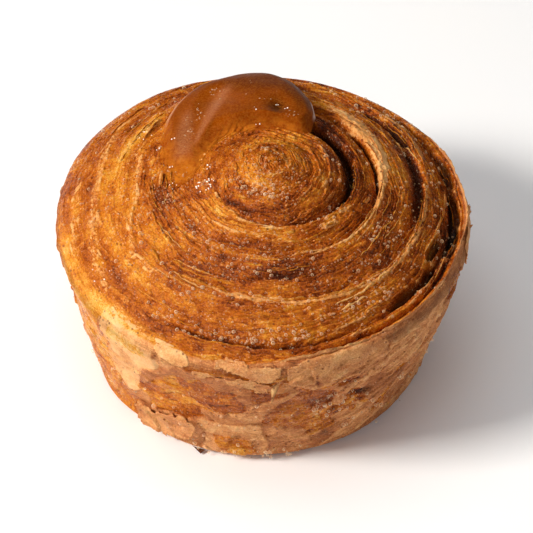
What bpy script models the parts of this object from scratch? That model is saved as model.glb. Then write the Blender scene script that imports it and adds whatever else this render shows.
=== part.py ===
"""A cruffin: croissant dough rolled into a spiral, baked in a muffin tin, with caramel on its crown.

Two pieces: the pastry, one solid with its coils, wraps and the largest sugar grains in relief, and
the caramel that has welled up behind the middle of the spiral and set there.
Metres, +Z up, origin at the middle of the flat base, front towards -Y.
"""

import math
import random

import bmesh
import bpy
from mathutils import Euler, Matrix, Vector, noise

MM = 0.001
TURN = 2 * math.pi

# Body: the cone that the tin gave it, then the dome that rose out of the tin
BASE_RADIUS = 37.3 * MM
RIM_RADIUS = 44.5 * MM
RIM_HEIGHT = 37.0 * MM
CROWN_RISE = 13.0 * MM
CROWN_FULLNESS = 2.4  # 2 is a parabola; more makes the shoulder rounder
BASE_ROUND = 2.2 * MM
RIM_ROUND = 3.1 * MM
BACK_SAG = 0.8 * MM  # the crown's back rim lies this much lower

# Spiral of the rolled dough, widening anticlockwise as seen from above: the groove between the coils,
# its radius and depth in mm at every eighth of a turn from the +X side, starting inside the nub
SPIRAL_X, SPIRAL_Y = 1.5 * MM, -0.3 * MM
FIRST_TURN = -2.0
GROOVE_RADII = (
    4.2, 4.6, 5.0, 5.6, 6.3, 7.0, 7.7, 8.5,
    9.4, 9.6, 9.8, 10.6, 11.8, 12.8, 14.4, 15.9,
    17.8, 19.4, 20.6, 20.4, 19.8, 20.2, 21.4, 22.8,
    23.7, 24.9, 28.3, 29.6, 27.6, 28.6, 30.9, 32.6,
    33.3, 35.3, 37.0, 37.4, 36.8, 38.2, 39.8, 39.8,
    40.6, 42.0, 43.4, 44.5, 45.5, 46.5, 47.5, 48.5,
    49.5,
)
GROOVE_DEPTHS = (
    0.4, 0.4, 0.4, 0.5, 0.5, 0.6, 0.6, 0.6,
    0.6, 0.5, 0.5, 0.6, 0.7, 0.7, 1.0, 2.4,
    4.2, 4.6, 3.4, 1.4, 0.8, 0.8, 1.0, 1.4,
    2.1, 2.4, 2.0, 1.0, 0.8, 0.8, 1.0, 1.4,
    1.9, 2.2, 1.6, 0.8, 0.8, 0.8, 1.1, 1.9,
    2.2, 1.7, 0.8, 0.6, 0.5, 0.5, 0.5, 0.5,
    0.5,
)
NUB_RISE = 3.8 * MM
NUB_WIDTH = 11.5 * MM

# Wall: dough wraps that overlap like shingles, and the outer wrap's tail
WRAP_LINES = 4
WRAP_STEP = 1.2 * MM
TAIL_ANGLE = math.radians(273)
TAIL_STEP = 1.1 * MM
LIP_RISE = 1.6 * MM  # how far the outer wrap's torn edge stands above the crown beside it

# Caramel: its outline in plan, in mm, and its thickness towards the edge every 30 degrees about its middle
CARAMEL_X, CARAMEL_Y = -5.0 * MM, 21.0 * MM
CARAMEL_OUTLINE = (
    (11.6, 17.3), (10.9, 22.8), (9.4, 26.8), (6.9, 33.0), (5.0, 36.4), (2.6, 38.6), (-1.5, 39.6), (-5.9, 39.2),
    (-10.8, 35.9), (-13.4, 34.4), (-16.8, 29.0), (-18.8, 24.8), (-20.2, 20.3), (-21.8, 14.8), (-22.0, 10.1),
    (-21.0, 5.5), (-19.4, 1.3), (-17.6, -1.6), (-15.6, -1.0), (-13.2, 1.6), (-11.2, 5.0), (-9.0, 8.0),
    (-6.4, 10.2), (-2.5, 11.4), (0.7, 12.0), (3.9, 12.4), (7.1, 11.8), (9.8, 11.6), (10.6, 13.6),
)
CARAMEL_THICK = (2.7, 2.7, 2.3, 2.6, 2.6, 2.0, 1.8, 1.8, 1.8, 2.4, 2.8, 2.8)
CARAMEL_MIDDLE = 3.4 * MM
CARAMEL_GAP = 0.35 * MM
DIMPLE_X, DIMPLE_Y = 3.4 * MM, 18.4 * MM
DIMPLE_DEPTH = 1.1 * MM
DIMPLE_WIDTH = 2.2 * MM

# Torn flakes: angle, height or radius, width, length from root to tip, lift of the tip (degrees and mm)
WALL_FLAKES = (
    (229, 33, 11, 5, 0.9),
    (243, 31, 14, 6, 1.0),
    (257, 32, 13, 6, 1.1),
    (268, 30, 7, 6, 1.5),
    (242, 8, 21, 4, 0.9),
    (300, 27, 16, 4, 1.0),
    (327, 24, 13, 4, 1.0),
    (352, 15, 14, 4, 0.9),
    (358, 30, 8, 5, 1.2),
    (42, 22, 15, 4, 1.0),
    (92, 29, 16, 5, 1.0),
    (140, 20, 14, 4, 1.0),
    (186, 27, 12, 4, 1.0),
)
CROWN_FLAKES = (
    (277, 40.5, 10, 3.0, 1.2),
    (300, 40.5, 16, 2.6, 1.2),
    (330, 40.0, 15, 2.6, 1.2),
    (8, 40.5, 13, 2.6, 1.2),
)
FLAKE_THICK = 0.7 * MM
FLAKE_ROOT = 1.6 * MM  # how deep the root is buried in the crust

# Mesh fineness
STEPS_ROUND = 78
CROWN_ROWS = 33
WALL_ROWS = 13
BASE_ROWS = 3
ROUND_ROWS = 3
CARAMEL_RINGS = 9
CARAMEL_STEPS = 40

# Sugar grains large enough to be part of the solid
GRAIN_COUNT = 48
GRAIN_SMALL, GRAIN_LARGE = 0.8 * MM, 1.1 * MM
GRAIN_SUNK = 0.12  # share of its size that a grain's middle lies outside the crust
GRAIN_SPACING = 3.0 * MM
GRAIN_SEED = 7
FLAKE_SEED = 4


def smooth_step(low, high, value):
    """0 below low, 1 above high, and a smooth rise between them."""
    share = min(1.0, max(0.0, (value - low) / (high - low)))
    return share * share * (3 - 2 * share)


def bump(value, middle, width):
    return math.exp(-(((value - middle) / width) ** 2))


def angle_bump(angle, middle, width):
    """A bump in angle that wraps round, with middle and width in degrees."""
    off = (math.degrees(angle) - middle + 180) % 360 - 180
    return math.exp(-((off / width) ** 2))


def smooth_table(values, place):
    """A smooth curve through evenly spaced values."""
    place = min(max(place, 0.0), len(values) - 1.001)
    i = int(place)
    f = place - i
    a, b = values[max(i - 1, 0)], values[i]
    c, d = values[i + 1], values[min(i + 2, len(values) - 1)]
    return b + 0.5 * f * (c - a + f * (2 * a - 5 * b + 4 * c - d + f * (3 * (b - c) + d - a)))


def bulge(angle, share):
    """How far the plan's outline departs from a circle, as a share of the radius, from base (0) to rim (1)."""
    at_rim = 0.0085 * math.cos(2 * angle + 2.36) + 0.006 * math.cos(3 * angle) + 0.003 * math.cos(9 * angle + 0.4)
    at_base = 0.0118 * math.cos(2 * angle - 1.88) - 0.0036 * math.cos(3 * angle)
    corner = 0.018 * angle_bump(angle, 209, 8) - 0.030 * angle_bump(angle, 230, 9)
    drawn_in = 0.020 * angle_bump(angle, 192, 28) * bump(share, 0.78, 0.16)
    drawn_in += 0.012 * angle_bump(angle, 356, 50) + 0.022 * angle_bump(angle, 280, 34) * (1 - share)
    return at_base + (at_rim - at_base) * share + corner * bump(share, 0.2, 0.22) - drawn_in


def spiral_place(x, y):
    """Distance from the spiral's middle and angle about it. Near the rim the coils follow the rim."""
    pull = 1 - min(1.0, (x * x + y * y) / RIM_RADIUS**2)
    dx, dy = x - SPIRAL_X * pull, y - SPIRAL_Y * pull
    return math.hypot(dx, dy), math.atan2(dy, dx) % TURN


def groove_at(turns):
    """Radius and depth of the groove between two coils, that many turns along the spiral."""
    place = (turns - FIRST_TURN) * 8
    return smooth_table(GROOVE_RADII, place) * MM, max(0.0, smooth_table(GROOVE_DEPTHS, place)) * MM


def plain_dome(radius):
    return RIM_HEIGHT + CROWN_RISE * (1 - (radius / RIM_RADIUS) ** CROWN_FULLNESS)


def nub(x, y):
    return NUB_RISE * bump(spiral_place(x, y)[0], 0, NUB_WIDTH)


def coil_relief(x, y):
    """Height of the coils' round tops above the dome, negative in the grooves between them."""
    away, angle = spiral_place(x, y)
    turns = FIRST_TURN + angle / TURN
    inner, inner_depth = groove_at(turns)
    if away < inner:
        return 0.0
    while turns < 3.8:
        outer, outer_depth = groove_at(turns + 1)
        if away < outer:
            break
        inner, inner_depth = outer, outer_depth
        turns += 1
    across = min(1.0, (away - inner) / max(outer - inner, 0.1 * MM))
    depth = inner_depth * (1 - across) + outer_depth * across
    hump = math.sin(math.pi * across**0.9) ** 0.65 if 0 < across < 1 else 0.0
    return -depth * (1 - hump)


def back_sag(angle, radius):
    return BACK_SAG * angle_bump(angle, 85, 42) * smooth_step(0.72, 0.94, radius / RIM_RADIUS)


def lip(angle, radius):
    """The outer wrap's torn edge, which stands up from the tail round to the +X side."""
    share = smooth_step(math.radians(262), TAIL_ANGLE, angle) + smooth_step(0.9, 0.3, angle)
    return LIP_RISE * min(1.0, share) * smooth_step(0.93, 0.985, radius / RIM_RADIUS)


def wall_relief(angle, height):
    """How far the wall's wraps stand out: shingled steps with wavy edges, and the tail of the outer wrap."""
    wave = 0.09 * math.sin(2 * angle + 0.8) + 0.06 * math.sin(5 * angle + 2.0) + 0.04 * math.sin(8 * angle)
    level = (height / RIM_HEIGHT + wave) * WRAP_LINES
    shingle = level - math.floor(level)
    step = WRAP_STEP * (shingle**1.6 - 0.4) * smooth_step(1.0, 0.86, shingle)
    past_tail = (angle - TAIL_ANGLE) % TURN
    tail = TAIL_STEP * smooth_step(0, 0.06, past_tail) * (1 - past_tail / TURN)
    tail *= smooth_step(0.35, 0.6, height / RIM_HEIGHT)
    dents = 0.7 * MM * noise.noise(Vector((3 * math.cos(angle), 3 * math.sin(angle), height / (9 * MM))))
    return step + tail + dents


def pastry_profile():
    """(radius, height) points from the top of the crown, over the rim, down the wall and in under the base."""
    slope = math.atan2(CROWN_FULLNESS * CROWN_RISE, RIM_RADIUS)
    wall_lean = math.atan2(RIM_RADIUS - BASE_RADIUS, RIM_HEIGHT)
    inner = RIM_RADIUS - RIM_ROUND * (1 - math.sin(slope))
    points = []
    for row in range(CROWN_ROWS):
        radius = inner * row / (CROWN_ROWS - 1)
        points.append((radius, plain_dome(radius)))
    drop = points[-1][1] - RIM_ROUND * math.cos(slope)
    centre = inner - RIM_ROUND * math.sin(slope)
    for row in range(1, ROUND_ROWS + 1):
        turn = (math.pi / 2 - slope) + (slope - math.pi / 2 - wall_lean) * row / ROUND_ROWS
        points.append((centre + RIM_ROUND * math.cos(turn), drop + RIM_ROUND * math.sin(turn)))
    top_radius, top_height = points[-1]
    for row in range(1, WALL_ROWS + 1):
        share = row / WALL_ROWS
        height = top_height + (BASE_ROUND - top_height) * share
        points.append((top_radius + (BASE_RADIUS - top_radius) * share, height))
    for row in range(1, ROUND_ROWS + 1):
        turn = (math.pi / 2) * row / ROUND_ROWS
        points.append(
            (BASE_RADIUS - BASE_ROUND * (1 - math.cos(turn)), BASE_ROUND * (1 - math.sin(turn)))
        )
    flat = BASE_RADIUS - BASE_ROUND
    for row in range(1, BASE_ROWS + 1):
        points.append((flat * (1 - row / BASE_ROWS), 0.0))
    return points


def shaped(place):
    """Where a point of the plain turned body ends up on the baked one."""
    radius, angle = math.hypot(place.x, place.y), math.atan2(place.y, place.x) % TURN
    if radius < 1e-9:
        angle = 0.0
    on_crown = smooth_step(RIM_HEIGHT - 2 * MM, RIM_HEIGHT + 1 * MM, place.z)
    above_base = smooth_step(0, 4 * MM, place.z)
    outward = radius * bulge(angle, min(1.0, place.z / RIM_HEIGHT)) + wall_relief(angle, place.z) * (1 - on_crown) * above_base
    lift = 0.0
    if on_crown > 0:
        inside = smooth_step(1.0, 0.94, radius / RIM_RADIUS)
        lift = nub(place.x, place.y) + coil_relief(place.x, place.y) * inside + lip(angle, radius)
        lift += 0.8 * MM * noise.noise(place / (12 * MM)) * inside - back_sag(angle, radius)
    grown = (radius + outward) / radius if radius > 1e-9 else 1.0
    return Vector((place.x * grown, place.y * grown, place.z + lift * on_crown))


def material(name, colour, roughness):
    made = bpy.data.materials.new(name)
    made.use_nodes = True
    shader = made.node_tree.nodes["Principled BSDF"]
    shader.inputs["Base Color"].default_value = (*colour, 1)
    shader.inputs["Roughness"].default_value = roughness
    return made


def new_collection(name, hidden=False):
    made = bpy.data.collections.new(name)
    made.hide_render = hidden
    bpy.context.scene.collection.children.link(made)
    return made


def applied(obj):
    """The object's mesh with its modifiers applied and its doubled points merged."""
    bpy.context.view_layer.update()
    mesh = bpy.data.meshes.new_from_object(obj.evaluated_get(bpy.context.evaluated_depsgraph_get()))
    work = bmesh.new()
    work.from_mesh(mesh)
    bmesh.ops.remove_doubles(work, verts=work.verts, dist=0.01 * MM)
    bmesh.ops.dissolve_degenerate(work, edges=work.edges, dist=0.005 * MM)
    work.to_mesh(mesh)
    work.free()
    obj.modifiers.clear()
    obj.data = mesh
    return obj


def make_pastry(collection, crust):
    """Turns the profile, then pushes each point to where the coils, wraps and grooves put it."""
    points = pastry_profile()
    mesh = bpy.data.meshes.new("pastry")
    edges = [(i, i + 1) for i in range(len(points) - 1)]
    mesh.from_pydata([(radius, 0, height) for radius, height in points], edges, [])
    pastry = bpy.data.objects.new("pastry", mesh)
    collection.objects.link(pastry)
    screw = pastry.modifiers.new("turned", "SCREW")
    screw.steps = screw.render_steps = STEPS_ROUND
    screw.use_merge_vertices = True
    screw.merge_threshold = 0.01 * MM
    applied(pastry)
    for vertex in pastry.data.vertices:
        vertex.co = shaped(vertex.co)
    pastry.data.materials.append(crust)
    return pastry


def caramel_reach(angle):
    """Length of the caramel from its middle to its outline."""
    ux, uy = math.cos(angle), math.sin(angle)
    reach = 0.0
    for (ax, ay), (bx, by) in zip(CARAMEL_OUTLINE, CARAMEL_OUTLINE[1:] + CARAMEL_OUTLINE[:1]):
        ax, ay, dx, dy = ax * MM - CARAMEL_X, ay * MM - CARAMEL_Y, (bx - ax) * MM, (by - ay) * MM
        turn = ux * dy - uy * dx
        if abs(turn) < 1e-12:
            continue
        away, along = (ax * dy - ay * dx) / turn, (ax * uy - ay * ux) / turn
        if away > 0 and -1e-6 <= along <= 1 + 1e-6:
            reach = max(reach, away)
    return reach


def caramel_top(x, y, share):
    """Height of the caramel's smooth upper face, which falls steeply at its edge."""
    radius = math.hypot(x, y)
    angle = math.atan2(y - CARAMEL_Y, x - CARAMEL_X) % TURN
    near_edge = smooth_table(CARAMEL_THICK + CARAMEL_THICK[:1], angle / TURN * len(CARAMEL_THICK)) * MM
    thick = CARAMEL_MIDDLE + (near_edge - CARAMEL_MIDDLE) * smooth_step(0.1, 0.75, share)
    thick *= math.sqrt(max(0.0, 1 - share**5))
    dimple = DIMPLE_DEPTH * bump(math.hypot(x - DIMPLE_X, y - DIMPLE_Y), 0, DIMPLE_WIDTH)
    sag = back_sag(math.atan2(y, x) % TURN, radius)
    return plain_dome(radius) + nub(x, y) - sag + thick - dimple - 0.4 * MM


def make_caramel(collection, cutters, pastry, glaze):
    """A disc raised to the caramel's upper face and dropped into the crown, less a copy of the pastry held just above it."""
    work = bmesh.new()
    bmesh.ops.create_cone(work, cap_ends=True, segments=CARAMEL_STEPS, radius1=1, radius2=1, depth=1)
    top = [f for f in work.faces if f.normal.z > 0.9]
    for ring in range(1, CARAMEL_RINGS):
        bmesh.ops.inset_region(work, faces=top, thickness=1 / CARAMEL_RINGS, use_even_offset=False)
    bmesh.ops.poke(work, faces=top)
    sunk = RIM_HEIGHT - 4 * MM
    for vertex in work.verts:
        raised = vertex.co.z > 0
        share = min(1.0, vertex.co.xy.length) ** 0.8
        angle = math.atan2(vertex.co.y, vertex.co.x) % TURN
        reach = caramel_reach(angle) * share
        x, y = CARAMEL_X + reach * math.cos(angle), CARAMEL_Y + reach * math.sin(angle)
        vertex.co = Vector((x, y, caramel_top(x, y, share) if raised else sunk))
    mesh = bpy.data.meshes.new("caramel")
    work.to_mesh(mesh)
    work.free()
    caramel = bpy.data.objects.new("caramel", mesh)
    collection.objects.link(caramel)
    mesh.materials.append(glaze)
    raised_pastry = bpy.data.objects.new("raised_pastry", pastry.data.copy())
    raised_pastry.data.transform(Matrix.Translation((0, 0, CARAMEL_GAP)))
    raised_pastry.hide_render = True
    raised_pastry.display_type = "WIRE"
    cutters.objects.link(raised_pastry)
    cut = caramel.modifiers.new("clear_of_pastry", "BOOLEAN")
    cut.operation = "DIFFERENCE"
    cut.object = raised_pastry
    applied(caramel)
    keep_largest(caramel)
    bpy.data.objects.remove(raised_pastry)
    return caramel


def keep_largest(obj):
    """Drops the loose scraps that a cut leaves, and keeps the piece with the most faces."""
    work = bmesh.new()
    work.from_mesh(obj.data)
    unseen, pieces = set(work.faces), []
    while unseen:
        front, piece = [unseen.pop()], set()
        while front:
            face = front.pop()
            piece.add(face)
            near = {other for edge in face.edges for other in edge.link_faces} & unseen
            unseen -= near
            front.extend(near)
        pieces.append(piece)
    kept = max(pieces, key=len)
    bmesh.ops.delete(work, geom=[f for f in work.faces if f not in kept], context="FACES")
    work.to_mesh(obj.data)
    work.free()


def grain_places(draw):
    """Spots and outward directions for the sugar grains: mostly the front and right of the crown, some on the wall."""
    spots = []
    while len(spots) < GRAIN_COUNT:
        angle = draw.uniform(0, TURN)
        across = Vector((math.cos(angle), math.sin(angle), 0))
        if draw.random() < 0.2:
            height = draw.uniform(5, 33) * MM
            radius = BASE_RADIUS + (RIM_RADIUS - BASE_RADIUS) * height / RIM_HEIGHT
            normal = (across - Vector((0, 0, 0.2))).normalized()
        else:
            radius = 41.5 * MM * math.sqrt(draw.random())
            height = plain_dome(radius)
            normal = Vector((0, 0, 1))
        spot = shaped(across * radius + Vector((0, 0, height)))
        dx, dy = spot.x - CARAMEL_X, spot.y - CARAMEL_Y
        near_caramel = math.hypot(dx, dy) < caramel_reach(math.atan2(dy, dx) % TURN) + 2 * MM
        back_here = draw.random() < 0.5 + 0.4 * spot.y / RIM_RADIUS
        if back_here or (near_caramel and height > RIM_HEIGHT - 3 * MM):
            continue
        if all((spot - other).length > GRAIN_SPACING for other, _ in spots):
            spots.append((spot, normal))
    return spots


def add_grains(pastry):
    """Sets the sugar grains in the crust as small blocks and joins them to the solid."""
    draw = random.Random(GRAIN_SEED)
    grains = new_collection("grains", hidden=True)
    for spot, normal in grain_places(draw):
        work = bmesh.new()
        size = draw.uniform(GRAIN_SMALL, GRAIN_LARGE)
        bmesh.ops.create_cube(work, size=size)
        spin = Euler([draw.uniform(0, TURN) for _ in range(3)]).to_matrix().to_4x4()
        bmesh.ops.transform(work, matrix=Matrix.Translation(spot + normal * size * GRAIN_SUNK) @ spin, verts=work.verts)
        mesh = bpy.data.meshes.new("grain")
        work.to_mesh(mesh)
        work.free()
        grains.objects.link(bpy.data.objects.new("grain", mesh))
    join_all(pastry, grains)


def join_all(pastry, extras):
    """Makes everything in the collection part of the solid, then drops the collection."""
    join = pastry.modifiers.new("joined", "BOOLEAN")
    join.operation = "UNION"
    join.solver = "MANIFOLD"
    join.operand_type = "COLLECTION"
    join.collection = extras
    applied(pastry)
    for extra in list(extras.objects):
        bpy.data.objects.remove(extra)
    bpy.data.collections.remove(extras)


def flake(spot, outward, along, sizes, draw):
    """A thin slab with a torn tip: its root is in the crust at the spot, and its tip stands off from it."""
    wide, length, lift = (size * MM for size in sizes)
    across = outward.cross(along)
    work = bmesh.new()
    bmesh.ops.create_grid(work, x_segments=4, y_segments=3, size=0.5)
    for vertex in work.verts:
        side, out = vertex.co.x, vertex.co.y + 0.5
        torn = draw.uniform(-0.22, 0.12) if out > 0.99 else 0.0
        reach = length * (out + torn) * (1 - 1.6 * side * side)
        raised = lift * out**1.5 - FLAKE_ROOT * (1 - out) ** 2 - 1.2 * side * side * FLAKE_ROOT
        bend = -((side * wide) ** 2) / (2 * RIM_RADIUS)
        vertex.co = spot + across * side * wide + along * reach + outward * (raised + bend)
    bmesh.ops.solidify(work, geom=work.faces[:], thickness=FLAKE_THICK)
    bmesh.ops.triangulate(work, faces=work.faces[:])
    bmesh.ops.recalc_face_normals(work, faces=work.faces[:])
    mesh = bpy.data.meshes.new("flake")
    work.to_mesh(mesh)
    work.free()
    return bpy.data.objects.new("flake", mesh)


def add_flakes(pastry):
    """Joins the torn flakes to the solid: on the wall they point up, on the rim they point outwards."""
    draw = random.Random(FLAKE_SEED)
    flakes = new_collection("flakes", hidden=True)
    for degrees, height, *sizes in WALL_FLAKES:
        angle, height = math.radians(degrees), height * MM
        outward = Vector((math.cos(angle), math.sin(angle), -0.2)).normalized()
        along = (Vector((0, 0, 1)) + outward * 0.2).normalized()
        radius = BASE_RADIUS + (RIM_RADIUS - BASE_RADIUS) * height / RIM_HEIGHT
        spot = shaped(Vector((radius * math.cos(angle), radius * math.sin(angle), height)))
        flakes.objects.link(flake(spot, outward, along, sizes, draw))
    for degrees, radius, *sizes in CROWN_FLAKES:
        angle, radius = math.radians(degrees), radius * MM
        spot = shaped(Vector((radius * math.cos(angle), radius * math.sin(angle), plain_dome(radius))))
        along = Vector((math.cos(angle), math.sin(angle), -0.2)).normalized()
        outward = Vector((math.cos(angle) * 0.2, math.sin(angle) * 0.2, 1)).normalized()
        flakes.objects.link(flake(spot, outward, along, sizes, draw))
    join_all(pastry, flakes)


def main():
    for old in list(bpy.data.objects):
        bpy.data.objects.remove(old)
    cruffin = new_collection("cruffin")
    cutters = new_collection("cutters", hidden=True)
    crust = material("crust", (0.62, 0.27, 0.06), 0.5)
    glaze = material("glaze", (0.42, 0.14, 0.015), 0.18)
    pastry = make_pastry(cruffin, crust)
    make_caramel(cruffin, cutters, pastry, glaze)
    add_flakes(pastry)
    add_grains(pastry)
    pastry.data.set_sharp_from_angle(angle=math.radians(60))


main()
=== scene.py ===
import math
import random

import bmesh
import bpy
from mathutils import Euler, Matrix, Vector, noise


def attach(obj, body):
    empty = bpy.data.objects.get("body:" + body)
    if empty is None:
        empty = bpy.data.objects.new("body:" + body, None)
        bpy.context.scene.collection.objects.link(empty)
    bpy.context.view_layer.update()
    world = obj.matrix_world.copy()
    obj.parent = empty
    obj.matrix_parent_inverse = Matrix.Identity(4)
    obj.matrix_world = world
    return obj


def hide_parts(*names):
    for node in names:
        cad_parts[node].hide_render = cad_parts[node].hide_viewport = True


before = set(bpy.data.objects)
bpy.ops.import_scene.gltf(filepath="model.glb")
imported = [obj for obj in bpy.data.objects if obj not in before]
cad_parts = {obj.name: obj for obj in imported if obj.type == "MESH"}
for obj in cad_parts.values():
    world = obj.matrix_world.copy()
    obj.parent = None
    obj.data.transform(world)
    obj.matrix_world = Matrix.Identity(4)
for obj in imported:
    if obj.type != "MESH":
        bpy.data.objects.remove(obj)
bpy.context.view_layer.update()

mm = 0.001
fullTurn = 2 * math.pi

# The tin's cone and the dome above it, as the solid has them. Lengths in metres.
body = {
    "baseRadius": 37.3 * mm,
    "rimRadius": 44.5 * mm,
    "rimHeight": 37.0 * mm,
    "crownRise": 13.0 * mm,
    "fullness": 2.4,
    "rimRound": 3.1 * mm,
    "baseRound": 2.2 * mm,
    "backSag": 0.8 * mm,
    "nubRise": 3.8 * mm,
    "nubWidth": 11.5 * mm,
    "middleX": 1.5 * mm,
    "middleY": -0.3 * mm,
}

# The groove between the coils. Radii in mm and depths in mm at every eighth of a turn, from the nub out.
coil = {
    "firstTurn": -3.0,
    "perTurn": 8,
    "radii": (
        0.3, 0.6, 1.0, 1.4, 2.0, 2.5, 3.0, 3.5,
        4.2, 4.6, 5.0, 5.6, 6.3, 7.0, 7.7, 8.5,
        9.4, 9.6, 9.8, 10.6, 11.8, 12.8, 14.4, 15.9,
        17.8, 19.4, 20.6, 20.4, 19.8, 20.2, 21.4, 22.8,
        23.7, 24.9, 28.3, 29.6, 27.6, 28.6, 30.9, 32.6,
        33.3, 35.3, 37.0, 37.4, 36.8, 38.2, 39.8, 39.8,
        40.6, 42.0, 43.4, 44.5, 45.5, 46.5, 47.5, 48.5,
        49.5,
    ),
    "depths": (
        0.0, 0.2, 0.3, 0.3, 0.4, 0.4, 0.4, 0.4,
        0.4, 0.4, 0.4, 0.5, 0.5, 0.6, 0.6, 0.6,
        0.6, 0.5, 0.5, 0.6, 0.7, 0.7, 1.0, 2.4,
        4.2, 4.6, 3.4, 1.4, 0.6, 0.5, 0.8, 1.2,
        1.9, 2.2, 2.0, 1.0, 0.5, 0.4, 0.8, 1.2,
        1.7, 2.0, 1.6, 0.8, 0.6, 0.6, 1.1, 1.9,
        2.2, 1.7, 0.8, 0.6, 0.5, 0.5, 0.5, 0.5,
        0.5,
    ),
    "leaves": 9,  # thin leaves of dough across one coil
    "leafRise": 0.62 * mm,
}


def smoothStep(low, high, value):
    share = min(1.0, max(0.0, (value - low) / (high - low)))
    return share * share * (3 - 2 * share)


def bump(value, middle, width):
    return math.exp(-(((value - middle) / width) ** 2))


def angleOff(degrees, middle):
    return (degrees - middle + 180) % 360 - 180


def angleBump(degrees, middle, width):
    return math.exp(-((angleOff(degrees, middle) / width) ** 2))


def smoothTable(values, place):
    # Catmull-Rom through evenly spaced values
    place = min(max(place, 0.0), len(values) - 1.001)
    i = int(place)
    f = place - i
    a, b = values[max(i - 1, 0)], values[i]
    c, d = values[i + 1], values[min(i + 2, len(values) - 1)]
    return b + 0.5 * f * (c - a + f * (2 * a - 5 * b + 4 * c - d + f * (3 * (b - c) + d - a)))


tableFine = 16  # steps between two values of the spiral's tables


def fineTable(values):
    # A table of the spiral filled in finely, in metres
    steps = (len(values) - 1) * tableFine + 1
    return [max(0.0, smoothTable(values, step / tableFine)) * mm for step in range(steps)]


grooveRadii = fineTable(coil["radii"])
grooveDepths = fineTable(coil["depths"])


def grooveAt(turns):
    # Radius and depth of the groove that many turns along the spiral
    place = (turns - coil["firstTurn"]) * coil["perTurn"] * tableFine
    place = min(max(place, 0.0), len(grooveRadii) - 1.001)
    i = int(place)
    f = place - i
    radius = grooveRadii[i] * (1 - f) + grooveRadii[i + 1] * f
    return radius, grooveDepths[i] * (1 - f) + grooveDepths[i + 1] * f


def coilPlace(x, y):
    # Angle in degrees and radius about the spiral's middle, which drifts to the body's middle at the rim
    pull = 1 - min(1.0, (x * x + y * y) / body["rimRadius"] ** 2)
    dx, dy = x - body["middleX"] * pull, y - body["middleY"] * pull
    return math.degrees(math.atan2(dy, dx)) % 360, math.hypot(dx, dy)


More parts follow.
